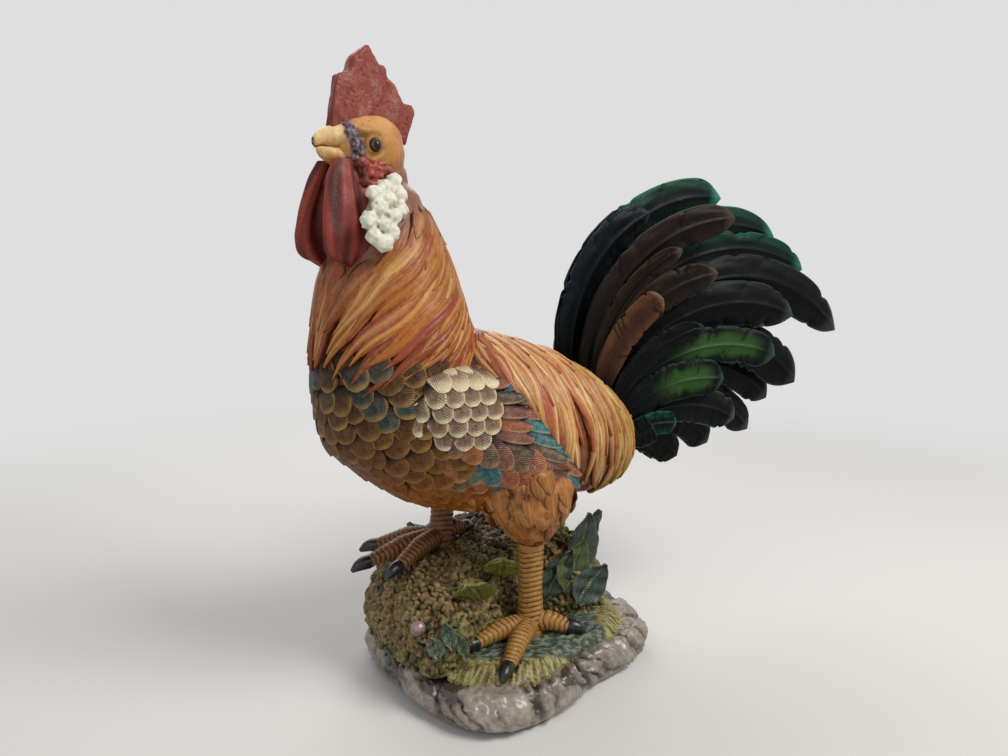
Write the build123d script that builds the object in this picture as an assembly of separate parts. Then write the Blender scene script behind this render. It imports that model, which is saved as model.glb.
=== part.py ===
from build123d import *
import os
from math import atan2, cos, degrees, hypot, radians, sin

# A painted cast-resin rooster on a rock base, in millimetres and degrees.
# The rooster faces -Y, its left side is +X, and the base stands on Z = 0.

# Base
felt_thickness = 1.5
felt_inset = 0.90
slab_centre_x = 5.0
slab_centre_y = -1.0
slab_half_x = 60.0
slab_half_y = 64.0
slab_top_z = 15.0
slab_foot_scale = 0.955
slab_top_scale = 0.92
turf_rise = 4.5
turf_foot_scale = 0.86
turf_top_scale = 0.74
mound_height = 38.0
mound_lean_x = -18.5
mound_lean_y = -8.0
mound_lump = 0.9
bead_radius = 3.4
leaf_half_length = 12.0
leaf_half_width = 5.5
leaf_thickness = 1.3
leaf_sunk = 3.0
blade_half_length = 8.5
blade_half_width = 2.4

# Torso
torso_over_mound = 55.0
torso_front_y = -86.0
torso_length = 146.0
torso_half_width = 42.0
torso_half_height = 36.0

# Neck and head
neck_foot_over_torso = 10.0
neck_foot_behind_breast = 34.0
neck_length = 100.0
neck_half_width = 33.5
neck_lean = -10.5
head_over_neck = 7.0
head_before_neck = 2.0
head_turn = 18.0
head_half_width = 12.6
head_half_length = 16.5
head_half_height = 14.8
beak_length = 16.0
beak_half_width = 6.6
beak_half_height = 5.8
beak_lift = 4.6
mouth_rise = 0.5
eye_radius = 3.0
eye_forward = 2.8
eye_rise = 0.8
comb_length = 40.0
comb_height = 30.0
comb_thickness = 7.5
wattle_length = 38.0
wattle_half_width = 10.8
wattle_half_thickness = 4.2
wattle_swing = 2.5
earlobe_half_height = 16.5
earlobe_half_length = 9.5
earlobe_thickness = 4.8
earlobe_forward = 2.0
earlobe_drop = 28.0
earlobe_flare = 20.0

# Wings and saddle
wing_half_length = 43.0
wing_half_height = 19.5
wing_thickness = 10.0
wing_rise = 3.5
wing_slope = -33.0
wing_peg_radius = 4.0
wing_peg_length = 14.0
saddle_proud = 3.6
saddle_rib_height = 1.5
saddle_rib_width = 6.5
saddle_rib_slope = 15.0
saddle_edge_slope = -51.0

# Tail
tail_reach = 100.0
tail_hinge_depth = 76.0
plume_half_width = 8.0
plume_thickness = 1.45
plume_clearance = 0.16
plume_root_half_width = 3.2
boss_rise = 4.0
boss_slope = -50.0
boss_half_width = 19.0
boss_half_length = 19.0
boss_half_height = 20.0

# Legs and feet
thigh_radius = 19.5
hock_radius = 7.6
shank_radius = 6.0
toe_reach = 40.0
toe_radius = 4.7
toe_tip_radius = 3.5
toe_arch = 1.2
claw_length = 7.5
claw_tip_radius = 0.6
claw_droop = 1.5
left_ankle_x = 24.5
left_ankle_y = -2.7
left_hock_rise = 32.7
right_ankle_x = -12.0
right_ankle_y = -30.0
right_hock_rise = 17.2
rod_radius = 1.5
rod_foot_depth = 8.0
rod_head_drop = 4.0
dowel_radius = 4.0
dowel_half_length = 18.0

# Room for glue round pegs, rods and dowels
bond_gap = 0.15

# Heights and places that follow from these
mound_top_z = slab_top_z + mound_height
turf_top_z = slab_top_z + turf_rise
torso_mid_z = mound_top_z + torso_over_mound
neck_foot_y = torso_front_y + neck_foot_behind_breast
neck_foot_z = torso_mid_z + neck_foot_over_torso
neck_top_z = neck_foot_z + neck_length
head_y = neck_foot_y + neck_lean - head_before_neck
head_z = neck_top_z + head_over_neck


def ellipse_z(x, y, z, half_x, half_y):
    """A level elliptic section."""
    return Plane(origin=(x, y, z), x_dir=(1, 0, 0), z_dir=(0, 0, 1)) * Ellipse(half_x, half_y)


def ellipse_y(x, y, z, half_x, half_z):
    """An elliptic section that stands across the bird."""
    return Plane(origin=(x, y, z), x_dir=(1, 0, 0), z_dir=(0, 1, 0)) * Ellipse(half_x, half_z)


def ellipsoid(centre, halves, turn=(0, 0, 0), seam=0):
    """An ellipsoid of three half lengths, whose surface closes on itself at the seam's angle."""
    return Location(centre, turn) * scale(Rotation(0, 0, seam) * Sphere(1), by=halves)


def limb(points, radii):
    """A round limb through some points, with a radius at each."""
    sections = []
    for i, point in enumerate(points):
        before = Vector(points[max(i - 1, 0)])
        after = Vector(points[min(i + 1, len(points) - 1)])
        direction = (after - before).normalized()
        sections.append(Plane(origin=point, z_dir=direction) * Circle(radii[i]))
    return loft(sections)


def rod(start, end, radius):
    """A straight round rod."""
    path = Vector(end) - Vector(start)
    return extrude(Plane(origin=start, z_dir=path.normalized()) * Circle(radius), amount=path.length)


def cut(shape, *others):
    """What is left of a shape outside its neighbours, less any loose crumbs."""
    for other in others:
        shape = shape - other
    return max(shape.solids(), key=lambda s: s.volume)


def closed_outline(points, z):
    """A level face inside a smooth closed curve."""
    curve = Spline(*[(x, y, z) for x, y in points], periodic=True)
    return make_face(curve)


# Base: a lobed stone slab with a felt pad, turf and a mossy mound

# The slab's edge, as shares of its half lengths.
slab_lobes = [
    (1.02, -0.44), (0.95, -0.10), (0.79, 0.24), (0.70, 0.56), (0.36, 0.95), (0.00, 1.00), (-0.45, 0.97),
    (-0.85, 0.67), (-1.00, 0.14), (-0.92, -0.46), (-0.64, -0.90), (-0.23, -1.00), (0.25, -0.95),
    (0.52, -0.90), (0.90, -0.72),
]
slab_waist_share = 0.45


def slab_outline(share, z):
    points = []
    for u, v in slab_lobes:
        points.append((slab_centre_x + u * slab_half_x * share, slab_centre_y + v * slab_half_y * share))
    return closed_outline(points, z)


felt_body = extrude(slab_outline(felt_inset, 0), amount=felt_thickness)
slab_waist_z = felt_thickness + slab_waist_share * (slab_top_z - felt_thickness)
slab_body = loft([
    slab_outline(slab_foot_scale, felt_thickness),
    slab_outline(1.0, slab_waist_z),
    slab_outline(slab_top_scale, slab_top_z),
])
turf_body = loft([slab_outline(turf_foot_scale, slab_top_z), slab_outline(turf_top_scale, turf_top_z)])

# The mound's edge at its foot, as shares of the slab's half lengths, and how it draws in as it rises. Between
# the foot and the top it is lumpy: the lumps of one level lie over the hollows of the level below.
mound_foot = [
    (0.52, -0.79), (0.28, -0.30), (0.12, 0.11), (0.25, 0.48), (0.02, 0.76), (-0.45, 0.82),
    (-0.82, 0.58), (-0.92, 0.02), (-0.82, -0.58), (-0.55, -0.92), (-0.02, -0.98),
]
mound_levels = [(0.0, 1.0), (0.18, 1.015), (0.40, 1.015), (0.62, 0.945), (0.82, 0.82), (1.0, 0.58)]
mound_lump_signs = [0, 1, -1, 1, -1, 0]
lumps_per_stretch = 2


def mound_edge(place):
    """A place on the mound's foot, from its leaning axis, on a smooth curve through the foot's points."""
    first = int(place // 1)
    part = place % 1
    x = y = 0.0
    weights = [
        -0.5 * part + part ** 2 - 0.5 * part ** 3, 1 - 2.5 * part ** 2 + 1.5 * part ** 3,
        0.5 * part + 2 * part ** 2 - 1.5 * part ** 3, -0.5 * part ** 2 + 0.5 * part ** 3,
    ]
    for step, weight in enumerate(weights):
        u, v = mound_foot[(first + step - 1) % len(mound_foot)]
        x += weight * (slab_centre_x + u * slab_half_x - mound_lean_x)
        y += weight * (slab_centre_y + v * slab_half_y - mound_lean_y)
    return x, y


def mound_outline(rise, share, sign):
    points = []
    steps = 2 * lumps_per_stretch
    for i in range(len(mound_foot) * steps):
        x, y = mound_edge(i / steps)
        swell = share + sign * (-1) ** i * mound_lump / hypot(x, y)
        points.append((mound_lean_x + x * swell, mound_lean_y + y * swell))
    return closed_outline(points, slab_top_z + rise * mound_height)


mound_body = loft([
    mound_outline(rise, share, sign) for (rise, share), sign in zip(mound_levels, mound_lump_signs)
])


def mound_point(place, rise, sunk):
    """A point just under the mound's skin, and the turn that faces away from the mound."""
    share = 1.0
    for (low, low_share), (high, high_share) in zip(mound_levels, mound_levels[1:]):
        if low <= rise <= high:
            share = low_share + (high_share - low_share) * (rise - low) / (high - low)
    edge_x, edge_y = mound_edge(place)
    out_x = edge_x * share
    out_y = edge_y * share
    reach = hypot(out_x, out_y)
    keep = (reach - sunk) / reach
    turn = degrees(atan2(out_y, out_x)) + 90
    return (mound_lean_x + out_x * keep, mound_lean_y + out_y * keep, slab_top_z + rise * mound_height), turn


# Leaves and blades on the mound: place round its edge, rise, lean from upright and share of the half length.
leaf_rows = [
    (3.3, 0.62, 8, 1.25), (2.8, 0.50, 16, 1.00), (3.0, 0.30, 34, 0.92), (2.4, 0.42, 24, 1.00),
    (1.2, 0.72, 46, 0.92), (0.6, 0.66, 52, 1.00), (4.6, 0.55, 30, 1.08), (6.2, 0.55, 36, 1.08),
    (7.6, 0.45, 34, 1.00),
]
blade_rows = [(0.15, 0.26, 12, 1.06), (0.35, 0.20, 26, 0.94), (-0.05, 0.22, 24, 0.94)]
leaf_lift_share = 0.72
bead_place = -0.35
bead_rise = 0.50


def leaf(place, rise, lean, half_length, half_width):
    """A lens-shaped leaf that stands in the mound and leans away from it."""
    foot, turn = mound_point(place, rise, leaf_sunk)
    blade = ellipsoid((0, 0, half_length * leaf_lift_share), (half_width, leaf_thickness, half_length))
    return Location(foot, (0, 0, turn)) * (Location((0, 0, 0), (lean, 0, 0)) * blade)


leaves = []
for place, rise, lean, share in leaf_rows:
    leaves.append(leaf(place, rise, lean, share * leaf_half_length, leaf_half_width))
blades = []
for place, rise, lean, share in blade_rows:
    blades.append(leaf(place, rise, lean, share * blade_half_length, blade_half_width))
bead_body = Location(mound_point(bead_place, bead_rise, 0)[0]) * Sphere(bead_radius)

# Torso: sections from breast to rump, as shares of its length, half width and half height, and its lift
torso_profile = [
    (0.000, 0.20, 0.25, 0.39), (0.027, 0.44, 0.47, 0.375), (0.082, 0.64, 0.64, 0.35),
    (0.178, 0.83, 0.83, 0.235), (0.315, 0.96, 0.97, 0.11), (0.486, 1.00, 0.99, 0.015),
    (0.658, 0.92, 0.86, -0.04), (0.808, 0.75, 0.67, -0.10), (0.932, 0.50, 0.42, -0.125),
    (1.000, 0.23, 0.18, -0.14),
]


def torso_section(along, wide, high, lift, proud=0.0):
    y = torso_front_y + along * torso_length
    half_x = wide * torso_half_width + proud
    half_z = high * torso_half_height + proud
    return ellipse_y(0, y, torso_mid_z + lift * torso_half_height, half_x, half_z)


torso_body = loft([torso_section(*row) for row in torso_profile])

# Neck: level sections from the shoulders to the head, as shares of its length, half width and lean
neck_profile = [
    (0.00, 0.925, 1.045, 0.00), (0.17, 1.000, 1.030, 0.19), (0.34, 0.940, 0.970, 0.33),
    (0.50, 0.860, 0.870, 0.45), (0.64, 0.745, 0.765, 0.52), (0.78, 0.600, 0.610, 0.60),
    (0.90, 0.450, 0.460, 0.62), (1.00, 0.340, 0.370, 0.66),
]
neck_sections = []
for up, wide, deep, forward in neck_profile:
    neck_sections.append(ellipse_z(
        0, neck_foot_y + forward * neck_lean, neck_foot_z + up * neck_length,
        wide * neck_half_width, deep * neck_half_width,
    ))
neck_body = loft(neck_sections)

# Head: its own frame looks along -Y and is turned to the bird's left
head_frame = Location((0, head_y, head_z), (0, 0, head_turn))
head_body = head_frame * ellipsoid((0, 0, 0), (head_half_width, head_half_length, head_half_height))

# Beak: two horn pieces set in the front of the head, meeting at the mouth line
beak_root_y = -head_half_length * 0.55
beak_tip_y = -head_half_length * 0.95 - beak_length * 0.55
upper_z = mouth_rise + beak_lift
hook_z = mouth_rise + beak_lift * 0.62
upper_beak_body = head_frame * loft([
    ellipse_y(0, beak_root_y, upper_z, beak_half_width, beak_half_height * 1.15),
    ellipse_y(0, beak_root_y - beak_length * 0.45, upper_z, beak_half_width * 0.82, beak_half_height),
    ellipse_y(0, beak_tip_y + beak_length * 0.14, (upper_z + hook_z) / 2,
              beak_half_width * 0.42, beak_half_height * 0.58),
    ellipse_y(0, beak_tip_y, hook_z, beak_half_width * 0.12, beak_half_height * 0.16),
])
lower_beak_body = head_frame * loft([
    ellipse_y(0, beak_root_y, mouth_rise - beak_half_height * 0.36,
              beak_half_width * 0.92, beak_half_height * 0.75),
    ellipse_y(0, beak_root_y - beak_length * 0.4, mouth_rise - beak_half_height * 0.25,
              beak_half_width * 0.66, beak_half_height * 0.58),
    ellipse_y(0, beak_tip_y + beak_length * 0.22, mouth_rise + beak_half_height * 0.14,
              beak_half_width * 0.22, beak_half_height * 0.25),
])

# Comb: one notched blade on the crown, as shares of its length behind its front and of its height
comb_edge = [
    (0.00, -0.02), (0.09, 0.56), (0.22, 0.61), (0.27, 0.82), (0.44, 1.00), (0.55, 0.78), (0.63, 0.78),
    (0.66, 0.62), (0.75, 0.54), (0.86, 0.34), (0.96, 0.34), (1.00, 0.24), (0.88, -0.22), (0.45, -0.30),
]
comb_front_y = -head_half_length * 1.09
comb_foot_z = head_half_height * 0.73


def comb_blade():
    points = []
    for along, up in comb_edge:
        points.append((0, comb_front_y + along * comb_length, comb_foot_z + up * comb_height))
    return extrude(make_face(Polyline(*points, close=True)), amount=comb_thickness / 2, both=True)


comb_body = head_frame * comb_blade()

# Wattles: sections from the throat down, as shares of the length, half width, half thickness and spread
wattle_profile = [
    (0.00, 0.36, 0.62, 0.72), (0.16, 0.66, 0.80, 0.90), (0.45, 0.94, 1.00, 1.10),
    (0.72, 1.00, 1.00, 1.20), (0.90, 0.74, 0.80, 1.20), (1.00, 0.30, 0.34, 1.15),
]
wattle_top_z = -head_half_height * 0.35
wattle_y = -head_half_length * 0.85
wattle_spread = wattle_half_thickness * 1.35


def wattle(side):
    """A long hanging lobe under the beak."""
    sections = []
    for down, wide, thick, out in wattle_profile:
        sections.append(ellipse_z(
            side * wattle_spread * out, wattle_y - wattle_swing * down, wattle_top_z - down * wattle_length,
            wattle_half_thickness * thick, wattle_half_width * wide,
        ))
    return head_frame * loft(sections)


# Earlobes sit on the neck's flare, a little proud of it.
earlobe_out = neck_half_width * 0.60 - earlobe_thickness * 0.25


def earlobe(side):
    """The white knobbly patch behind the wattle."""
    centre = (side * earlobe_out, -earlobe_forward, -earlobe_drop)
    halves = (earlobe_thickness, earlobe_half_length, earlobe_half_height)
    outward = 0 if side > 0 else 180
    return head_frame * ellipsoid(centre, halves, (0, -side * earlobe_flare, 0), outward)


def eye(side):
    place = (side * head_half_width * 0.93, -eye_forward, eye_rise)
    return head_frame * (Location(place, (0, side * 90, 0)) * Sphere(eye_radius))


eyes = {+1: eye(+1), -1: eye(-1)}
wattles = {+1: wattle(+1), -1: wattle(-1)}
earlobes = {+1: earlobe(+1), -1: earlobe(-1)}

# Wings: lens-shaped castings, each pegged into the torso's flank
wing_y = torso_front_y + 0.45 * torso_length
wing_z = torso_mid_z + wing_rise


def wing(side):
    centre = (side * (torso_half_width - 0.7 * wing_thickness), wing_y, wing_z)
    return ellipsoid(centre, (wing_thickness, wing_half_length, wing_half_height), (wing_slope, 0, 0))


def wing_peg(side, gap):
    outer = side * (torso_half_width + 0.2 * wing_thickness)
    inner = side * (torso_half_width - wing_peg_length - gap)
    return rod((outer, wing_y, wing_z), (inner, wing_y, wing_z), wing_peg_radius + gap)


wings = {+1: wing(+1), -1: wing(-1)}

# Saddle: a cape that follows the torso's rear half, cut off along a slanting front edge
saddle_profile = [
    (0.384, 0.76, 0.875, 0.22), (0.507, 0.94, 0.958, 0.11), (0.658, 0.92, 0.86, 0.015),
    (0.795, 0.80, 0.74, -0.085), (0.897, 0.63, 0.60, -0.195), (0.966, 0.40, 0.38, -0.25),
    (1.000, 0.18, 0.16, -0.28),
]
saddle_edge_y = torso_front_y + 0.59 * torso_length
saddle_edge = Plane(Location((0, saddle_edge_y, torso_mid_z), (saddle_edge_slope, 0, 0)))


def saddle_layer(proud):
    return loft([torso_section(*row, proud=proud) for row in saddle_profile])


saddle_body = split(saddle_layer(saddle_proud), bisect_by=saddle_edge, keep=Keep.TOP)

# Its long feathers hang in ribs from the ridge of the back, before the tail.
saddle_rib_places = [0.50, 0.582, 0.664, 0.746]
rib_layer = saddle_layer(saddle_proud + saddle_rib_height)


def saddle_rib(along):
    room = 3 * torso_half_width
    y = torso_front_y + along * torso_length
    strip = Location((0, y, torso_mid_z), (saddle_rib_slope, 0, 0)) * Box(room, saddle_rib_width, room)
    band = split(rib_layer & strip, bisect_by=saddle_edge, keep=Keep.TOP)
    return cut(band, wings[+1], wings[-1], thighs[+1], thighs[-1])


# Tail: plumes on pages that open from an upright line, like the leaves of a book
boss_y = torso_front_y + 0.89 * torso_length
boss_z = torso_mid_z + boss_rise
boss_halves = (boss_half_width, boss_half_length, boss_half_height)
boss_body = ellipsoid((0, boss_y, boss_z), boss_halves, (boss_slope, 0, 0))
tail_hinge_y = boss_y - tail_hinge_depth
root_half_line = boss_half_length * 0.94
root_line_y = root_half_line * cos(radians(boss_slope))
root_line_z = root_half_line * sin(radians(boss_slope))
page_yaw = (plume_thickness + plume_clearance) / (boss_y - root_line_y - tail_hinge_y)

# Each plume: its page, its tip's place behind and above the boss as shares of the tail's reach, its place on
# the root line from top to bottom, its first slope and its share of the half width.
sickle_rows = [
    (0, 0.77, 1.03, 0.10, 99, 1.12), (1, 0.30, 0.94, 0.00, 101, 1.00), (2, 1.06, 0.84, 0.25, 90, 1.06),
    (3, 1.22, 0.67, 0.35, 82, 1.00), (4, 1.42, 0.35, 0.45, 75, 1.19),
]
main_tail_rows = [
    (0, 0.74, -0.24, 0.85, 28, 1.00), (1, 0.51, -0.28, 1.00, 5, 0.94), (2, 0.94, -0.17, 0.75, 40, 1.00),
    (3, 1.02, 0.00, 0.65, 52, 1.00), (5, 1.12, 0.09, 0.58, 62, 1.06),
]
covert_rows = [
    (6, 1.05, 0.44, 0.48, 68, 1.00), (7, 0.66, 0.91, 0.18, 95, 0.94), (7, 0.70, -0.06, 0.80, 35, 1.00),
    (8, 0.89, 0.25, 0.60, 60, 1.00), (9, 0.54, 0.65, 0.32, 85, 0.88), (9, 0.59, 0.15, 0.68, 50, 1.00),
    (10, 0.25, 0.54, 0.30, 84, 0.75), (10, 0.22, -0.06, 0.92, 15, 0.81),
]
plume_groups = {"sickles": sickle_rows, "main_tail": main_tail_rows, "tail_coverts": covert_rows}
plume_edge = [(0.30, 0.80), (0.62, 1.00), (0.86, 0.92), (0.97, 0.50), (1.00, 0.00)]


def plume(side, page, back, up, root_share, first_slope, width_share):
    """One flat plume, curved along an arc from its root to its tip."""
    root_y = boss_y + (2 * root_share - 1) * root_line_y
    root_z = boss_z + (2 * root_share - 1) * root_line_z
    rise_y = boss_y + back * tail_reach - root_y
    rise_z = boss_z + up * tail_reach - root_z
    start = radians(first_slope)
    half_turn = start - atan2(rise_z, rise_y)
    radius = hypot(rise_y, rise_z) / (2 * sin(half_turn))
    widths = [(0.0, plume_root_half_width)]
    for along, share in plume_edge:
        widths.append((along, share * width_share * plume_half_width))
    upper = []
    lower = []
    for along, half in widths:
        slope = start - 2 * half_turn * along
        y = root_y - tail_hinge_y + radius * (sin(start) - sin(slope))
        z = root_z + radius * (cos(slope) - cos(start))
        upper.append((y - half * sin(slope), z + half * cos(slope)))
        lower.append((y + half * sin(slope), z - half * cos(slope)))
    edges = Spline(*upper) + Spline(*reversed(lower)) + Line(lower[0], upper[0])
    yaw = page_yaw * (page + 0.5)
    sheet = Plane(
        origin=(0, tail_hinge_y, 0),
        x_dir=(side * sin(yaw), cos(yaw), 0),
        z_dir=(cos(yaw), -side * sin(yaw), 0),
    )
    return extrude(sheet * make_face(edges), amount=plume_thickness / 2, both=True)


# Legs: feathered thighs, ringed shanks and toes, with steel rods inside

# Hock, knee and hip lie at steps from the ankle. The hock's height is from the toes, and the
# knee's and hip's heights are from the torso's middle.
toe_seat_share = 0.8
left_toe_z = turf_top_z + toe_radius * toe_seat_share
right_toe_z = mound_top_z + toe_radius * toe_seat_share
feet = {
    +1: dict(
        ankle=Vector(left_ankle_x, left_ankle_y, left_toe_z),
        hock=Vector(left_ankle_x + 0.5, left_ankle_y - 0.3, left_toe_z + left_hock_rise),
        knee=Vector(left_ankle_x + 3.0, left_ankle_y - 2.5, torso_mid_z - 28.0),
        hip=Vector(left_ankle_x, left_ankle_y - 5.0, torso_mid_z - 8.0),
        floor_z=turf_top_z,
    ),
    -1: dict(
        ankle=Vector(right_ankle_x, right_ankle_y, right_toe_z),
        hock=Vector(right_ankle_x - 3.0, right_ankle_y + 3.0, right_toe_z + right_hock_rise),
        knee=Vector(right_ankle_x - 8.0, right_ankle_y + 8.0, torso_mid_z - 22.0),
        hip=Vector(right_ankle_x - 11.0, right_ankle_y + 13.0, torso_mid_z - 6.0),
        floor_z=mound_top_z,
    ),
}

# Where each claw's tip lies from the ankle, as shares of the toes' reach.
toe_steps = {
    (+1, "inner"): (0.15, -0.925, -0.025), (+1, "middle"): (0.75, -0.75, -0.10),
    (+1, "outer"): (0.36, 0.50, -0.025), (+1, "hind"): (-0.35, 0.35, 0.0),
    (-1, "inner"): (0.55, -0.85, -0.125), (-1, "middle"): (0.125, -1.10, -0.15),
    (-1, "outer"): (-0.375, -0.85, -0.125), (-1, "hind"): (-0.20, 0.52, 0.0),
}
toe_names = ["inner", "middle", "outer", "hind"]


def thigh(side):
    foot = feet[side]
    return limb([foot["hip"], foot["knee"], foot["hock"]], [thigh_radius, thigh_radius * 0.97, hock_radius])


def shank(side):
    foot = feet[side]
    low = foot["ankle"] - Vector(0, 0, toe_radius * 1.05)
    high = foot["hock"] + Vector(0, 0, hock_radius * 0.4)
    radii = [shank_radius * 1.1, shank_radius * 0.95, shank_radius * 1.05]
    return limb([low, (low + high) * 0.5, high], radii)


def toe_path(side, name):
    step = Vector(*toe_steps[side, name]) * toe_reach
    level = Vector(step.X, step.Y, 0) * (1 - claw_length / hypot(step.X, step.Y))
    start = feet[side]["ankle"]
    middle = start + level * 0.5 + Vector(0, 0, 0.2 * step.Z + toe_arch)
    end = start + level + Vector(0, 0, step.Z)
    claw_end = start + step - Vector(0, 0, claw_droop)
    return start, middle, end, claw_end


def toe(side, name):
    start, middle, end, claw_end = toe_path(side, name)
    return limb([start, middle, end], [toe_radius, toe_radius * 0.95, toe_tip_radius])


def claw(side, name):
    start, middle, end, claw_end = toe_path(side, name)
    return limb([end, claw_end], [toe_tip_radius * 0.86, claw_tip_radius])


def leg_rod(side, gap):
    foot = feet[side]
    low = Vector(foot["ankle"].X, foot["ankle"].Y, foot["floor_z"] - rod_foot_depth - gap)
    high = Vector(foot["ankle"].X, foot["ankle"].Y, torso_mid_z - rod_head_drop + gap)
    return rod(low, high, rod_radius + gap)


thighs = {+1: thigh(+1), -1: thigh(-1)}
shanks = {+1: shank(+1), -1: shank(-1)}
rod_holes = {+1: leg_rod(+1, bond_gap), -1: leg_rod(-1, bond_gap)}
toes = {(side, name): toe(side, name) for side, name in toe_steps}
claws = {(side, name): claw(side, name) for side, name in toe_steps}


def foot_bodies(side):
    bodies = [shanks[side]]
    for name in toe_names:
        bodies += [toes[side, name], claws[side, name]]
    return bodies


left_foot = foot_bodies(+1)
right_foot = foot_bodies(-1)

# Dowels that hold the neck and the tail
neck_pin_y = neck_foot_y - dowel_radius * 0.75
neck_pin_z = torso_mid_z + torso_half_height
tail_pin_y = boss_y - dowel_radius
tail_pin_z = torso_mid_z - dowel_radius * 0.5


def neck_pin(gap):
    reach = dowel_half_length + gap
    return rod((0, neck_pin_y, neck_pin_z - reach), (0, neck_pin_y, neck_pin_z + reach), dowel_radius + gap)


def tail_pin(gap):
    reach = dowel_half_length + gap
    return rod((0, tail_pin_y - reach, tail_pin_z), (0, tail_pin_y + reach, tail_pin_z), dowel_radius + gap)


# Fit the pieces together: each is cut by the one that carries it
nodes = {}
nodes["felt_pad"] = felt_body
nodes["stone_slab"] = cut(slab_body, rod_holes[+1], *left_foot)
nodes["moss_mound"] = cut(mound_body, bead_body, rod_holes[-1], *right_foot, *left_foot)
nodes["turf"] = cut(turf_body, mound_body, rod_holes[+1], *left_foot)
nodes["berry_bead"] = bead_body
nodes["torso"] = cut(
    torso_body, wing_peg(+1, bond_gap), wing_peg(-1, bond_gap), neck_pin(bond_gap), tail_pin(bond_gap),
    rod_holes[+1], rod_holes[-1],
)
nodes["neck_hackle"] = cut(neck_body, torso_body, neck_pin(bond_gap))
nodes["head"] = cut(head_body, neck_body, upper_beak_body, lower_beak_body, comb_body, eyes[+1], eyes[-1])
nodes["comb"] = cut(comb_body, neck_body, upper_beak_body)
nodes["upper_beak"] = cut(upper_beak_body, neck_body)
nodes["lower_beak"] = cut(lower_beak_body, upper_beak_body, neck_body)
nodes["left_wattle"] = cut(wattles[+1], head_body, neck_body, lower_beak_body, upper_beak_body)
nodes["right_wattle"] = cut(wattles[-1], wattles[+1], head_body, neck_body, lower_beak_body, upper_beak_body)
saddle_ribs = [saddle_rib(along) for along in saddle_rib_places]
nodes["saddle_hackle"] = cut(saddle_body + saddle_ribs, torso_body, boss_body, neck_body)
nodes["tail_boss"] = cut(boss_body, torso_body, tail_pin(bond_gap))
nodes["neck_dowel"] = neck_pin(0)
nodes["tail_dowel"] = tail_pin(0)

for side, hand in ((+1, "left"), (-1, "right")):
    nodes[hand + "_eye"] = cut(eyes[side], neck_body)
    nodes[hand + "_earlobe"] = cut(earlobes[side], head_body, neck_body, wattles[side])
    nodes[hand + "_wing"] = cut(wings[side], torso_body, neck_body, saddle_body) + wing_peg(side, 0)
    nodes[hand + "_thigh"] = cut(
        thighs[side], torso_body, wings[side], saddle_body, shanks[side], rod_holes[side],
    )
    nodes[hand + "_shank"] = cut(shanks[side], torso_body, rod_holes[side])
    nodes[hand + "_leg_rod"] = leg_rod(side, 0)
    for group, rows in plume_groups.items():
        plumes = [cut(plume(side, *row), boss_body, torso_body, saddle_body) for row in rows]
        nodes[f"{hand}_{group}"] = Compound(plumes)
    done = [shanks[side]]
    for name in toe_names:
        nodes[f"{hand}_{name}_toe"] = cut(toes[side, name], rod_holes[side], *done)
        done.append(toes[side, name])
    nodes[hand + "_claws"] = Compound([cut(claws[side, name], toes[side, name]) for name in toe_names])

neighbours = [mound_body, turf_body, slab_body, torso_body, saddle_body, thighs[+1], thighs[-1]]
neighbours += left_foot + right_foot
nodes["mound_leaves"] = Compound([cut(shape, *neighbours) for shape in leaves])
nodes["sprout_blades"] = Compound([cut(shape, bead_body, *neighbours) for shape in blades])

os.makedirs("parts", exist_ok=True)
for name, shape in nodes.items():
    export_step(shape, f"parts/{name}.step")
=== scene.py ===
# %% [markdown]
# # A painted resin rooster on a rock base
# The figure is a resin casting that somebody painted by hand: smooth pointed locks for the hackles, scallops
# for the breast, thick round-ended tail plumes and a nodular mound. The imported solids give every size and
# place, and here each of them gets the relief and the paint of the real casting. All points are worked out
# in millimetres, in the same frame as the solids, and turned into metres when a mesh is made.

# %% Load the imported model
import math
import bmesh
import bpy
import numpy as np
from mathutils import Euler, Matrix, Vector, noise
from mathutils.bvhtree import BVHTree
from mathutils.kdtree import KDTree


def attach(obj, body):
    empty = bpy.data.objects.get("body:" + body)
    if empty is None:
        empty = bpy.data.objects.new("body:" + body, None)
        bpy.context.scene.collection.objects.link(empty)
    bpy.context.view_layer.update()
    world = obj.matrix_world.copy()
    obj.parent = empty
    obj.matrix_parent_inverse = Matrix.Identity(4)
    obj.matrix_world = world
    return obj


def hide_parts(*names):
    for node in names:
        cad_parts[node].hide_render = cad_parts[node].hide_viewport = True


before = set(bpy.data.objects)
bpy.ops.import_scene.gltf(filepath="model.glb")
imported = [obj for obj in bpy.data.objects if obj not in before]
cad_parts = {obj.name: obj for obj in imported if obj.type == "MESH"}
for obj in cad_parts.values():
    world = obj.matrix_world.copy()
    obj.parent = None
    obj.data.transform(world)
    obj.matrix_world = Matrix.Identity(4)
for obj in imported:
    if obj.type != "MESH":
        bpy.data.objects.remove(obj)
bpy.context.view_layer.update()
MM = 0.001
dice = np.random.default_rng(11)

# %% [markdown]
# ## Small helpers for colours and numbers
# A painter thinks in pots of paint, so colours are written as screen codes and turned into the linear values
# that shaders use. Ramps and mixes work on whole grids of points at once.

# %% Colours and ramps


def ink(code):
    """A paint colour from its screen code, in linear values."""
    channels = np.array([int(code[i:i + 2], 16) / 255 for i in (0, 2, 4)])
    return np.where(channels <= 0.04045, channels / 12.92, ((channels + 0.055) / 1.055) ** 2.4)


def mix(first, second, share):
    """Goes from the first colour to the second where the share, a grid of values, goes from 0 to 1."""
    return first + (second - first) * np.asarray(share)[..., None]


def ramp(value, low, high):
    """0 below low, 1 above high, and a smooth rise between them."""
    share = np.clip((np.asarray(value) - low) / (high - low), 0, 1)
    return share * share * (3 - 2 * share)


def unit(vectors):
    return vectors / np.maximum(np.linalg.norm(vectors, axis=-1, keepdims=True), 1e-9)


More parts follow.
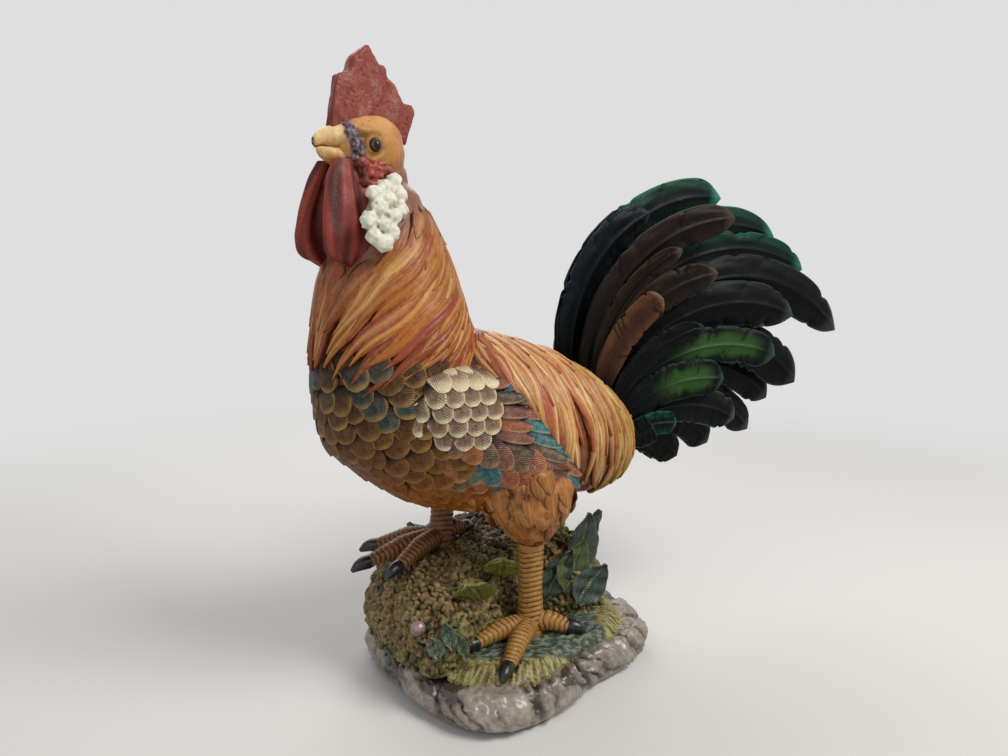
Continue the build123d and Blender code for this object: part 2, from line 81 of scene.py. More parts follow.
def eased(values, rounds=2):
    """A row of points with its small kinks taken out, ends kept."""
    for _ in range(rounds):
        middle = (values[:-2] + 2 * values[1:-1] + values[2:]) / 4
        values = np.concatenate([values[:1], middle, values[-1:]])
    return values


print("a middle grey in linear values", ink("808080").round(3))

# %% [markdown]
# ## Collecting a casting
# A cast figure is one surface with hundreds of raised feathers on it. Separate objects for each would be slow
# to handle, so a Casting gathers patches of points and faces and makes one mesh of them. Each point also
# carries its paint, and a relief value: how far along and across its feather it lies, and how deep in a
# crevice it is. The materials read these, so that dark wash settles where it does on the real thing.

# %% Casting
SHARP_FROM = math.radians(62)


class Casting:
    def __init__(self):
        self.points = []
        self.faces = []
        self.paint = []
        self.relief = []
        self.count = 0

    def add(self, points, faces, paint, relief):
        """Adds points in millimetres and faces, with a colour and (along, across, depth) for each point."""
        points = np.reshape(points, (-1, 3))
        self.faces += [tuple(int(i) + self.count for i in face) for face in faces]
        self.points.append(points)
        if np.ndim(paint) == 1:
            paint = np.broadcast_to(paint, points.shape)
        self.paint.append(np.reshape(paint, (-1, 3)))
        self.relief.append(np.reshape(relief, (-1, 3)))
        self.count += len(points)

    def piece(self, name, slot, material, *nodes):
        """Makes the mesh, rides it on the body and lets it stand for some CAD nodes."""
        mesh = bpy.data.meshes.new(name)
        mesh.from_pydata((np.concatenate(self.points) * MM).tolist(), [], self.faces)
        paint = mesh.attributes.new("paint", "FLOAT_COLOR", "POINT")
        colours = np.concatenate(self.paint)
        paint.data.foreach_set("color", np.c_[np.clip(colours, 0, 1), np.ones(len(colours))].ravel())
        relief = mesh.attributes.new("relief", "FLOAT_VECTOR", "POINT")
        relief.data.foreach_set("vector", np.concatenate(self.relief).ravel())
        mesh.shade_smooth()
        mesh.set_sharp_from_angle(angle=SHARP_FROM)
        mesh.materials.append(material)
        obj = bpy.data.objects.new(name, mesh)
        bpy.context.scene.collection.objects.link(obj)
        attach(obj, "root")
        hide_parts(*nodes)
        print(f"{name}: {len(mesh.vertices)} points, {len(mesh.polygons)} faces")


def grid_faces(rows, columns, closed=False):
    """Quads over a grid of points, joined back to its first column where it is closed."""
    faces = []
    for i in range(rows - 1):
        for j in range(columns if closed else columns - 1):
            k = (j + 1) % columns
            faces.append((i * columns + j, i * columns + k, (i + 1) * columns + k, (i + 1) * columns + j))
    return faces


def tube_faces(rows, columns):
    """Quads over a tube of points, with a cap at each end."""
    caps = [tuple(range(columns))[::-1], tuple(range((rows - 1) * columns, rows * columns))]
    return grid_faces(rows, columns, closed=True) + caps


def flipped(faces):
    """The same faces, seen from the other side."""
    return [face[::-1] for face in faces]


# %% [markdown]
# ## Rounded copies of the solids
# The solids are exact but plain, with hard seams where they meet. A voxel remesh fuses copies of them into
# one even skin, and a smoothing modifier takes the seams out. The same trick fuses loose blobs into a lump,
# which is how the head and the ear lobes are sculpted.

# %% Remesh and blobs
NOISE_FADE = 0.8
NOISE_STEP = 2.1


def remeshed(mesh, voxel, rounds):
    """Points in millimetres, faces and normals of a mesh after a voxel remesh and some smoothing."""
    lump = bpy.data.objects.new("lump", mesh)
    bpy.context.scene.collection.objects.link(lump)
    fuse = lump.modifiers.new("fuse", "REMESH")
    fuse.mode = "VOXEL"
    fuse.voxel_size = voxel * MM
    ease = lump.modifiers.new("ease", "SMOOTH")
    ease.factor = 0.5
    ease.iterations = rounds
    done = bpy.data.meshes.new_from_object(lump.evaluated_get(bpy.context.evaluated_depsgraph_get()))
    points = np.empty(len(done.vertices) * 3)
    normals = np.empty(len(done.vertices) * 3)
    done.vertices.foreach_get("co", points)
    done.vertices.foreach_get("normal", normals)
    faces = [tuple(polygon.vertices) for polygon in done.polygons]
    bpy.data.objects.remove(lump)
    return points.reshape(-1, 3) / MM, faces, normals.reshape(-1, 3)


def rounded_copy(nodes, voxel, rounds):
    """Points, faces and normals of some solids, fused and smoothed."""
    joined = bmesh.new()
    for node in nodes:
        joined.from_mesh(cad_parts[node].data)
    mesh = bpy.data.meshes.new("joined_copy")
    joined.to_mesh(mesh)
    joined.free()
    return remeshed(mesh, voxel, rounds)


def fused_blobs(blobs, voxel, rounds, fineness=3):
    """Ellipsoids, each a centre, three half lengths and a turn in degrees, fused into one lump.
    A low fineness makes them angular."""
    joined = bmesh.new()
    for centre, halves, turn in blobs:
        spin = Euler([math.radians(a) for a in turn]).to_matrix().to_4x4()
        size = Matrix.Diagonal((*[half * MM for half in halves], 1))
        place = Matrix.Translation(Vector(centre) * MM) @ spin @ size
        bmesh.ops.create_icosphere(joined, subdivisions=fineness, radius=1, matrix=place)
    mesh = bpy.data.meshes.new("blobs")
    joined.to_mesh(mesh)
    joined.free()
    return remeshed(mesh, voxel, rounds)


def speckle(points, size, octaves=3):
    """A fractal noise value at each point, with features of about that size in millimetres."""
    return np.array([noise.fractal(Vector(p / size), NOISE_FADE, NOISE_STEP, octaves) for p in points])


# %% [markdown]
# ## Walking over the skin
# Feathers lie along the body, so their centre lines are found by walking: take a step along the flow of the
# plumage, drop back to the nearest point of the skin, and repeat. A search tree over the fused skin makes
# that quick, and blending the corner normals keeps the line from jerking at face borders.

# %% Skin and walking
CORNER_SOFTNESS = 0.05


class Skin:
    def __init__(self, points, faces, normals):
        self.points = points
        self.faces = faces
        self.normals = normals
        self.tree = BVHTree.FromPolygons(points.tolist(), faces)

    def at(self, place):
        """The nearest point of the skin and its smooth normal."""
        spot, _, face, _ = self.tree.find_nearest(Vector(place))
        spot = np.array(spot)
        corners = list(self.faces[face])
        weights = 1 / (np.linalg.norm(self.points[corners] - spot, axis=1) + CORNER_SOFTNESS)
        return spot, unit(weights @ self.normals[corners])

    def cast(self, place, heading):
        """Where a ray first meets the skin, or None."""
        spot = self.tree.ray_cast(Vector(place), Vector(heading))[0]
        return None if spot is None else np.array(spot)


def walk(skin, start, flow, length, steps):
    """The points and normals of a line that follows a flow over the skin."""
    spot, normal = skin.at(start)
    line = [spot]
    normals = [normal]
    for _ in range(steps - 1):
        heading = flow(spot)
        heading = unit(heading - normal * (heading @ normal))
        spot, normal = skin.at(spot + heading * length / (steps - 1))
        line.append(spot)
        normals.append(normal)
    return eased(np.array(line)), unit(eased(np.array(normals), 4))


def upstream(skin, tip, flow, length, steps):
    """A line that ends at a feather's tip, found by walking back against the flow."""
    line, normals = walk(skin, tip, lambda spot: -flow(spot), length, steps)
    return line[::-1], normals[::-1]


# %% Skins to walk on
body_nodes = ["torso", "neck_hackle", "saddle_hackle", "left_wing", "right_wing", "left_thigh", "right_thigh"]
body_skin = Skin(*rounded_copy(body_nodes, 1.6, 10))
torso_skin = Skin(*rounded_copy(["torso"], 1.6, 8))
neck_skin = Skin(*rounded_copy(["neck_hackle", "torso"], 1.6, 12))
saddle_skin = Skin(*rounded_copy(["saddle_hackle", "torso"], 1.6, 36))
print("body skin", len(body_skin.points), "points")

# %% [markdown]
# ## A raised feather
# Every feather on the body is one kind of form: a crowned strip along a line, whose edges drop steeply into
# the skin, so that it reads as carved from the same block. A flat strip underneath and a cap at each end make
# it a closed solid. What differs is the outline, the height and the paint, which the caller gives.

# %% Ribbon
ACROSS = np.array([-1, -0.95, -0.78, -0.52, -0.26, 0, 0.26, 0.52, 0.78, 0.95, 1])
BURIED = -0.7


def distances(line):
    """How far along a line each of its points lies."""
    return np.concatenate([[0], np.cumsum(np.linalg.norm(np.diff(line, axis=0), axis=1))])


def moved_along(places, known, values):
    """Values that belong to known places along a line, at other places along it."""
    return np.stack([np.interp(places, known, values[:, i]) for i in range(3)], axis=1)


def ribbon(casting, line, normals, half_width, top, look):
    """Adds a feather. The half width and the look are given along the line, and top is a height for each
    place along and across it."""
    rows = len(line)
    columns = len(ACROSS)
    tangents = unit(np.gradient(line, axis=0))
    sides = unit(np.cross(normals, tangents))
    height = top.copy()
    height[:, [0, -1]] = BURIED
    height[[0, -1], :] = BURIED
    spread = sides[:, None] * (half_width[:, None] * ACROSS)[..., None]
    points = line[:, None] + spread + normals[:, None] * height[..., None]
    along = distances(line)
    share = along / along[-1]
    paint, depth = look(share[:, None], ACROSS[None, :])
    relief = np.stack([
        np.broadcast_to(along[:, None], (rows, columns)), half_width[:, None] * ACROSS, depth,
    ], axis=-1)
    faces = grid_faces(rows, columns)
    for i in range(rows - 1):
        faces.append((i * columns, (i + 1) * columns, (i + 2) * columns - 1, (i + 1) * columns - 1))
    faces.append(tuple(range(columns))[::-1])
    faces.append(tuple(range((rows - 1) * columns, rows * columns)))
    casting.add(points, faces, paint, relief)


def resample(line, normals, shares):
    """The same line at other places along it."""
    old = np.linspace(0, 1, len(line))
    return moved_along(shares, old, line), unit(moved_along(shares, old, normals))


def depth_relief(depth):
    """Relief values for a piece without feathers: only the depth in a crevice counts."""
    return np.stack([0 * depth, 0 * depth, np.clip(depth, 0, 1)], axis=-1)


def add_core(casting, skin, paint, sunk, depth=1.0):
    """Adds the skin itself, a little lower, as the floor of the crevices."""
    relief = depth_relief(np.full(len(skin.points), depth))
    casting.add(skin.points - skin.normals * sunk, skin.faces, paint, relief)


print("a feather is", len(ACROSS), "points wide")

# %% [markdown]
# ## Shared paint effects
# The figure was painted in three passes that every finish repeats: a coat of colour that is never quite even,
# a dark wash that runs into the crevices, and a dry brush that catches the raised parts. Each is a node group
# with named sockets, so all materials share one recipe. A fourth group draws the fine barb lines.

# %% Node group tools


def new_group(name, inputs, outputs):
    """A shader node group with named inputs (name, kind, first value) and outputs (name, kind). Hands back
    the group, the sockets that are given to it and those that are wanted from it."""
    group = bpy.data.node_groups.new(name, "ShaderNodeTree")
    for label, kind, value in inputs:
        socket = group.interface.new_socket(label, in_out="INPUT", socket_type=kind)
        socket.default_value = value
    for label, kind in outputs:
        group.interface.new_socket(label, in_out="OUTPUT", socket_type=kind)
    return group, group.nodes.new("NodeGroupInput").outputs, group.nodes.new("NodeGroupOutput").inputs


def plug(tree, socket, value):
    """Links a value that comes from another node, or sets one that is constant."""
    if isinstance(value, bpy.types.NodeSocket):
        tree.links.new(value, socket)
    else:
        socket.default_value = value


def wire(tree, kind, settings=None, **sockets):
    """A node with some settings and inputs. An input is named, or numbered as i0, i1 and so on."""
    node = tree.nodes.new(kind)
    for key, value in (settings or {}).items():
        setattr(node, key, value)
    for label, value in sockets.items():
        numbered = label[0] == "i" and label[1:].isdigit()
        plug(tree, node.inputs[int(label[1:]) if numbered else label], value)
    return node


def mapped(tree, value, low, high, to_low, to_high):
    """A value's smooth way from one range to another."""
    node = wire(tree, "ShaderNodeMapRange", {"interpolation_type": "SMOOTHSTEP"}, Value=value)
    for label, number in (("From Min", low), ("From Max", high), ("To Min", to_low), ("To Max", to_high)):
        node.inputs[label].default_value = number
    return node.outputs["Result"]


def maths(tree, operation, first, second=0.0):
    return wire(tree, "ShaderNodeMath", {"operation": operation}, i0=first, i1=second).outputs[0]


def colour_mix(tree, share, first, second):
    return wire(tree, "ShaderNodeMix", {"data_type": "RGBA"}, i0=share, i6=first, i7=second).outputs[2]


def blotches(tree, place, scale, detail, roughness=0.5):
    """An uneven value over the surface, with about that many blotches to the metre."""
    sockets = {"Vector": place, "Scale": scale, "Detail": detail, "Roughness": roughness}
    return wire(tree, "ShaderNodeTexNoise", **sockets).outputs[0]


# %% Node groups
COLOUR = "NodeSocketColor"
NUMBER = "NodeSocketFloat"
VECTOR = "NodeSocketVector"
COLOUR_GIVEN = ("Colour", COLOUR, (0.5, 0.5, 0.5, 1))
PLACE_GIVEN = ("Place", VECTOR, (0, 0, 0))
BRIGHT_SWING = 3.0
HUE_SWING = 0.10
POOL_SWING = 0.22
BARB_DRIFT = 0.9


def make_mottling():
    """Uneven hand-laid paint: broad patches and fine brush flecks."""
    group, given, wanted = new_group(
        "hand_mottling", [COLOUR_GIVEN, PLACE_GIVEN, ("Amount", NUMBER, 0.3)], [("Colour", COLOUR)])
    broad = blotches(group, given["Place"], 90.0, 4.0, 0.6)
    fleck = blotches(group, given["Place"], 700.0, 3.0, 0.7)
    both = maths(group, "SUBTRACT", maths(group, "ADD", broad, fleck), 1.0)
    swing = maths(group, "MULTIPLY", both, given["Amount"])
    bright = maths(group, "ADD", maths(group, "MULTIPLY", swing, BRIGHT_SWING), 1.0)
    hue = maths(group, "ADD", maths(group, "MULTIPLY", swing, HUE_SWING), 0.5)
    shade = wire(group, "ShaderNodeHueSaturation", Hue=hue, Value=bright, Color=given["Colour"])
    group.links.new(shade.outputs[0], wanted["Colour"])
    return group


def make_wash():
    """Thin dark paint that settles in crevices."""
    group, given, wanted = new_group("dark_wash", [
        COLOUR_GIVEN, ("Wash", COLOUR, (0.02, 0.01, 0.01, 1)), ("Depth", NUMBER, 0.0), PLACE_GIVEN,
        ("Amount", NUMBER, 0.8),
    ], [("Colour", COLOUR)])
    pool = blotches(group, given["Place"], 260.0, 3.0)
    uneven = mapped(group, pool, 0.25, 0.75, -POOL_SWING, POOL_SWING)
    share = mapped(group, maths(group, "ADD", given["Depth"], uneven), 0.25, 1.0, 0.0, 1.0)
    share = maths(group, "MULTIPLY", share, given["Amount"])
    group.links.new(colour_mix(group, share, given["Colour"], given["Wash"]), wanted["Colour"])
    return group


def make_brush():
    """Pale paint dragged over the raised parts with a nearly dry brush."""
    group, given, wanted = new_group("dry_brush", [
        COLOUR_GIVEN, ("Pale", COLOUR, (0.8, 0.7, 0.5, 1)), ("Raised", NUMBER, 0.0), PLACE_GIVEN,
        ("Amount", NUMBER, 0.5),
    ], [("Colour", COLOUR)])
    drag = blotches(group, given["Place"], 420.0, 5.0, 0.75)
    broken = mapped(group, drag, 0.42, 0.66, 0.0, 1.0)
    share = maths(group, "MULTIPLY", given["Raised"], broken)
    share = maths(group, "MULTIPLY", share, given["Amount"])
    group.links.new(colour_mix(group, share, given["Colour"], given["Pale"]), wanted["Colour"])
    return group


def make_barbs():
    """Fine engraved lines: a wave over a mix of the places along and across a feather, in millimetres."""
    group, given, wanted = new_group("barb_lines", [
        ("Along", NUMBER, 0.0), ("Across", NUMBER, 0.0), PLACE_GIVEN, ("Pitch", NUMBER, 1.0),
        ("Length Share", NUMBER, 1.0), ("Width Share", NUMBER, -0.9),
    ], [("Height", NUMBER), ("Line", NUMBER)])
    outward = maths(group, "MULTIPLY", maths(group, "ABSOLUTE", given["Across"]), given["Width Share"])
    course = maths(group, "MULTIPLY", given["Along"], given["Length Share"])
    course = maths(group, "ADD", course, outward)
    drift = maths(group, "MULTIPLY", blotches(group, given["Place"], 330.0, 2.0), BARB_DRIFT)
    course = maths(group, "DIVIDE", maths(group, "ADD", course, drift), given["Pitch"])
    wave = maths(group, "SINE", maths(group, "MULTIPLY", course, 2 * math.pi))
    group.links.new(wave, wanted["Height"])
    group.links.new(mapped(group, wave, -1.0, -0.2, 1.0, 0.0), wanted["Line"])
    return group


GROUPS = {"mottle": make_mottling(), "wash": make_wash(), "brush": make_brush(), "barbs": make_barbs()}
print("node groups", sorted(group.name for group in GROUPS.values()))

# %% [markdown]
# ## Painted resin
# The whole figure is matt or satin paint over resin. A picture could be wrapped round it, but then every
# feather would need its place in that picture. Here one function lays the passes over the colour that each
# point carries. A material differs in its wash, its dry brush, how strong the barb lines are, how rough the
# dried paint is and whether it was varnished.

# %% Painted resin
BUMP_DISTANCE = 0.0006
ROUGH_SWING = 0.1
VARNISH_ROUGHNESS = 0.2


def grouped(tree, key, **sockets):
    """The outputs of a shared group that is placed in a material."""
    node = tree.nodes.new("ShaderNodeGroup")
    node.node_tree = GROUPS[key]
    for label, value in sockets.items():
        plug(tree, node.inputs[label.replace("_", " ")], value)
    return node.outputs


def new_material(name):
    """A material, its node tree, its shader and the place of each point."""
    material = bpy.data.materials.new(name)
    material.use_nodes = True
    tree = material.node_tree
    place = tree.nodes.new("ShaderNodeTexCoord").outputs["Object"]
    return material, tree, tree.nodes["Principled BSDF"], place


def painted_resin(name, wash, brush, mottled, rough, barbs=None, coat=0.0, grain=0.12, shine=0.3):
    """A hand-painted finish. wash and brush are a colour and how much of it is laid. barbs is the pattern of
    the engraved lines (pitch, length share, width share), their depth and how dark they are."""
    material, tree, shader, place = new_material(name)
    paint = wire(tree, "ShaderNodeAttribute", {"attribute_name": "paint"}).outputs["Color"]
    relief = wire(tree, "ShaderNodeAttribute", {"attribute_name": "relief"}).outputs["Vector"]
    along, across, depth = wire(tree, "ShaderNodeSeparateXYZ", Vector=relief).outputs
    dark = (*ink(wash[0]), 1)
    pale = (*ink(brush[0]), 1)
    colour = grouped(tree, "mottle", Colour=paint, Place=place, Amount=mottled)["Colour"]
    height = maths(tree, "MULTIPLY", blotches(tree, place, 900.0, 4.0, 0.65), grain)
    if barbs:
        (pitch, length_share, width_share), barb_depth, barb_dark = barbs
        lines = grouped(tree, "barbs", Along=along, Across=across, Place=place, Pitch=pitch,
                        Length_Share=length_share, Width_Share=width_share)
        height = maths(tree, "ADD", height, maths(tree, "MULTIPLY", lines["Height"], barb_depth))
        colour = colour_mix(tree, maths(tree, "MULTIPLY", lines["Line"], barb_dark), colour, dark)
    colour = grouped(tree, "wash", Colour=colour, Wash=dark, Depth=depth, Place=place,
                     Amount=wash[1])["Colour"]
    raised = mapped(tree, depth, 0.0, 0.35, 1.0, 0.0)
    colour = grouped(tree, "brush", Colour=colour, Pale=pale, Raised=raised, Place=place,
                     Amount=brush[1])["Colour"]
    tree.links.new(colour, shader.inputs["Base Color"])
    wear_and_sheen = blotches(tree, place, 160.0, 3.0)
    dried = mapped(tree, wear_and_sheen, 0.3, 0.7, rough - ROUGH_SWING, rough + ROUGH_SWING)
    tree.links.new(dried, shader.inputs["Roughness"])
    bump = wire(tree, "ShaderNodeBump", Height=height, Strength=0.6, Distance=BUMP_DISTANCE)
    tree.links.new(bump.outputs[0], shader.inputs["Normal"])
    shader.inputs["Specular IOR Level"].default_value = shine
    shader.inputs["Coat Weight"].default_value = coat
    shader.inputs["Coat Roughness"].default_value = VARNISH_ROUGHNESS
    print("finish", name)
    return material


# %% Finishes for feathers
SCALE_BARBS = (1.15, 1.0, -0.95)
STRAND_LINES = (1.7, 0.02, 1.0)
PLUME_BARBS = (1.3, 1.0, -1.1)
hackle_paint = painted_resin("hackle_paint", wash=("2a0d05", 0.85), brush=("efd08c", 0.1), mottled=0.12,
                             barbs=(STRAND_LINES, 0.12, 0.05), rough=0.4, shine=0.2)
saddle_paint = painted_resin("saddle_paint", wash=("2a1006", 0.85), brush=("f5dda2", 0.12), mottled=0.12,
                             barbs=(STRAND_LINES, 0.12, 0.05), rough=0.38)
breast_paint = painted_resin("breast_paint", wash=("120a06", 0.9), brush=("c89a5c", 0.1), mottled=0.2,
                             barbs=(SCALE_BARBS, 0.3, 0.24), rough=0.46, shine=0.14)
wing_paint = painted_resin("wing_paint", wash=("100a08", 0.9), brush=("f0dfbc", 0.12), mottled=0.14,
                           barbs=(SCALE_BARBS, 0.3, 0.22), rough=0.42)
thigh_paint = painted_resin("thigh_paint", wash=("3a1c09", 0.75), brush=("e0b478", 0.1), mottled=0.18,
                            barbs=(STRAND_LINES, 0.2, 0.1), rough=0.5)
tail_paint = painted_resin("tail_paint", wash=("030404", 0.85), brush=("4f6a62", 0.03), mottled=0.2,
                           barbs=(PLUME_BARBS, 0.08, 0.3), rough=0.38, coat=0.02, shine=0.06)

# %% Finishes for head and legs
red_paint = painted_resin("red_paint", wash=("260b09", 0.8), brush=("b07a6e", 0.1), mottled=0.12, rough=0.48,
                          grain=0.5)
face_paint = painted_resin("face_paint", wash=("2c1608", 0.7), brush=("e8c894", 0.1), mottled=0.16,
                           rough=0.42)
horn_paint = painted_resin("horn_paint", wash=("2b1508", 0.75), brush=("fff0cc", 0.2), mottled=0.18,
                           rough=0.38, coat=0.15)
lobe_paint = painted_resin("lobe_paint", wash=("6e6448", 0.6), brush=("fffff4", 0.3), mottled=0.08, rough=0.5,
                           grain=0.4)
eye_gloss = painted_resin("eye_gloss", wash=("050302", 0.4), brush=("b98a40", 0.0), mottled=0.1, rough=0.16,
                          coat=0.3, grain=0.0, shine=0.2)
leg_paint = painted_resin("leg_paint", wash=("23120a", 0.92), brush=("dca868", 0.18), mottled=0.18,
                          rough=0.42)
claw_paint = painted_resin("claw_paint", wash=("050505", 0.6), brush=("6d6a66", 0.1), mottled=0.2, rough=0.32,
                           coat=0.2)

# %% Finishes for the base
LEAF_VEINS = (1.6, 1.0, -1.3)
moss_paint = painted_resin("moss_paint", wash=("171009", 0.95), brush=("cdb680", 0.34), mottled=0.22,
                           rough=0.46, grain=0.3)
turf_paint = painted_resin("turf_paint", wash=("3a381c", 0.55), brush=("d8ca88", 0.2), mottled=0.22,
                           rough=0.5, grain=0.4)
stone_paint = painted_resin("stone_paint", wash=("2a221b", 0.8), brush=("d4cdc2", 0.25), mottled=0.16,
                            rough=0.34, coat=0.4, grain=0.5, shine=0.5)
leaf_paint = painted_resin("leaf_paint", wash=("080d08", 0.8), brush=("9aa36a", 0.12), mottled=0.3,
                           barbs=(LEAF_VEINS, 0.4, 0.25), rough=0.3, coat=0.35)
bead_paint = painted_resin("bead_paint", wash=("3a2a28", 0.6), brush=("e6d6d0", 0.05), mottled=0.15,
                           rough=0.25, coat=0.6)

# %% [markdown]
# ## Neck hackle
# The neck carries long locks that start behind the head, twist forward as they fall and end in points over
# the breast. Hair strands could stand for them, but the real ones are carved, each with a crown and grooves.
# So each lock is a raised feather of its own, laid in tiers from the hem up, like thatch. Starting each at
# its tip and walking back against the flow keeps the hem even and lets the locks crowd together at the nape,
# as they do on the real one.

# %% Shape and paint of a lock
LOCK_SHARES = 1 - (1 - np.linspace(0, 1, 26)) ** 1.25
LOCK_STEPS = 22
LOCK_WAVE = 38.0
LOCK_SWAY = 0.9
SHORTEST_LOCK = 14


def lock_width(share):
    """A lock swells below its root and narrows to a point over its lower half."""
    swell = 0.55 + 0.45 * ramp(share, 0.0, 0.4)
    return swell * np.clip(1 - ((share - 0.42) / 0.58).clip(0) ** 1.8, 0, 1)


def lock_top(share, crown, lift, grooves):
    """Height of a lock: it rises from the skin at its root, is crowned and grooved, and lifts at its tip."""
    a = ACROSS[None, :]
    cuts = sum(np.exp(-((a - groove) / 0.13) ** 2) for groove in grooves)
    fade = ramp(share, 0.02, 0.2) * (1 - ramp(share, 0.75, 1))
    rise = ramp(share, 0.0, 0.32)[:, None]
    crowned = crown * (1 - a ** 2) - 0.32 * crown * cuts * fade[:, None]
    return (lift * share ** 1.4)[:, None] + crowned * rise - (1 - rise)


def lock_look(tint, cream, root_tint, grooves, crest, creamy):
    """Paint for one lock: darker at its edges and grooves, cream along one crest."""
    def look(share, across):
        paint = mix(root_tint, tint, ramp(share, 0.05, 0.45) + 0 * across)
        streak = np.exp(-((across - crest) / 0.26) ** 2) * ramp(share, 0.12, 0.45)
        paint = mix(paint, cream, creamy * streak)
        edge = ramp(np.abs(across), 0.72, 0.99) + 0 * share
        trough = sum(0.5 * np.exp(-((across - groove) / 0.1) ** 2) for groove in grooves) + 0 * share
        return paint, np.clip(np.maximum(edge, trough), 0, 1) * ramp(share, 0.04, 0.35)
    return look


def lay_lock(casting, skin, tip, flow, length, half_width, colours, crowns, lifts, creamy):
    """Lays one slightly wavy lock that ends at its tip."""
    line, normals = upstream(skin, tip, flow, length, LOCK_STEPS)
    line, normals = resample(line, normals, LOCK_SHARES)
    sides = unit(np.cross(normals, unit(np.gradient(line, axis=0))))
    wave = np.sin(2 * math.pi * (LOCK_SHARES * length / LOCK_WAVE + dice.random()))
    line = line + sides * (LOCK_SWAY * wave * ramp(LOCK_SHARES, 0, 0.3))[:, None]
    grooves = (dice.uniform(-0.6, -0.2), dice.uniform(0.15, 0.55))
    crest = (grooves[0] + grooves[1]) / 2 + dice.uniform(-0.15, 0.15)
    top = lock_top(LOCK_SHARES, dice.uniform(*crowns), dice.uniform(*lifts), grooves) + 0.1
    look = lock_look(*colours, grooves, crest, creamy)
    ribbon(casting, line, normals, half_width * lock_width(LOCK_SHARES) + 0.1, top, look)


# %% Scattered places


def scattered(points, spacing, wanted):
    """Picks points in a random order that keep a distance from each other."""
    cells = {}
    picked = []
    around = [np.array((i, j, k)) for i in (-1, 0, 1) for j in (-1, 0, 1) for k in (-1, 0, 1)]
    for index in dice.permutation(len(points)):
        if not wanted[index]:
            continue
        cell = np.floor(points[index] / spacing).astype(int)
        near = [other for step in around for other in cells.get(tuple(cell + step), [])]
        if all(np.linalg.norm(points[index] - other) >= spacing for other in near):
            cells.setdefault(tuple(cell), []).append(points[index])
            picked.append(index)
    return picked


# %% One lock of the neck
NECK_AXIS_Y = -58.0
NECK_TRAIL = 24
NECK_TINTS = [ink(code) for code in ("8c4420", "964a20", "803a1a", "9c5724", "8e422c", "9d5c28", "843f20")]


def neck_flow(spot):
    """Down, and forward more and more towards the breast."""
    forward = 0.30 + 1.15 * ramp(215 - spot[2], 0, 70)
    return np.array([0.0, -forward, -1.0])


def neck_hem_z(turn):
    """Height of the hackle's hem at a turn in radians from the front."""
    return 131 + 7 * ramp(math.cos(turn), 0.5, 1.0) + 17 * ramp(-math.cos(turn), 0.45, 1.0)


def nape_room(line):
    """How much of a line, from its tip up, stays below the bare cheek and the nape's top."""
    limit = 184 + 20 * ramp(line[:, 1], -63, -50)
    too_high = np.nonzero(line[:, 2] > limit)[0]
    return too_high[0] / len(line) if len(too_high) else 1.0


def neck_ground(z):
    """Colour of the skin between the locks: rust, and mauve brown towards the head."""
    return mix(ink("74381a"), ink("7c5044"), ramp(z, 168, 194))


def neck_lock(tip, wish, lifts=(0.3, 0.9)):
    """One lock of the neck, which starts in the skin's own colour and turns to rust with cream."""
    trail = upstream(neck_skin, tip, neck_flow, wish, NECK_TRAIL)[0][::-1]
    room = nape_room(trail)
    length = wish * room
    if length < SHORTEST_LOCK:
        return
    high = ramp(tip[2], 172, 200)
    tint = NECK_TINTS[dice.integers(len(NECK_TINTS))] * dice.uniform(0.85, 1.12)
    tint = mix(tint, ink("784436"), 0.65 * high)
    root = neck_ground(trail[int((NECK_TRAIL - 1) * room)][2])
    pale = mix(ink("cf9648"), ink("dcb474"), dice.random())
    creamy = 0.8 * dice.random() ** 1.3 * (1 - 0.5 * high)
    lay_lock(neck, neck_skin, tip, neck_flow, length, dice.uniform(3.4, 5.4), (tint, pale, root), (0.9, 1.5),
             lifts, creamy)


# %% Neck locks
HEM_LOCKS = 36
HEM_RADIUS = 40
TIER_RISE = 8
HEM_LIFTS = [(0.8, 1.3), (0.7, 1.1), (0.5, 1.0)]
neck = Casting()
neck_core = Skin(*rounded_copy(["neck_hackle", "head"], 1.4, 14))
core_z = neck_core.points[:, 2]
core_sunk = 0.4 + 3.2 * ramp(core_z, 208, 216)
neck.add(neck_core.points - neck_core.normals * core_sunk[:, None], neck_core.faces, neck_ground(core_z),
         depth_relief(0.5 - 0.4 * ramp(core_z, 168, 190)))
for tier, lifts in enumerate(HEM_LIFTS):
    for i in range(HEM_LOCKS):
        turn = 2 * math.pi * (i + 0.5 * tier + dice.uniform(-0.25, 0.25)) / HEM_LOCKS
        height = neck_hem_z(turn) + TIER_RISE * tier + dice.uniform(-3, 3)
        place = (HEM_RADIUS * math.sin(turn), NECK_AXIS_Y - HEM_RADIUS * math.cos(turn), height)
        neck_lock(neck_skin.at(place)[0], 72 + dice.uniform(-12, 12), lifts)
turns = np.arctan2(neck_skin.points[:, 0], NECK_AXIS_Y - neck_skin.points[:, 1])
hem_heights = np.array([neck_hem_z(turn) for turn in turns])
above_hem = (neck_skin.points[:, 2] > hem_heights + 14) & (neck_skin.points[:, 2] < 192)
on_neck = above_hem & (neck_skin.points[:, 1] < -20)
for index in scattered(neck_skin.points, 7.6, on_neck):
    neck_lock(neck_skin.points[index], 62 + dice.uniform(-14, 12))
neck.piece("neck_ribbons", "hackle_paint", hackle_paint, "neck_hackle")

# %% [markdown]
# ## Saddle hackle
# The same locks hang from the ridge of the back over the rump and the wing ends. Here they are paler, with
# olive gold towards the tail. A row of tips along the hem comes first. The rest are scattered above it at a
# set distance, which leaves no bare skin and no rows that look ruled.

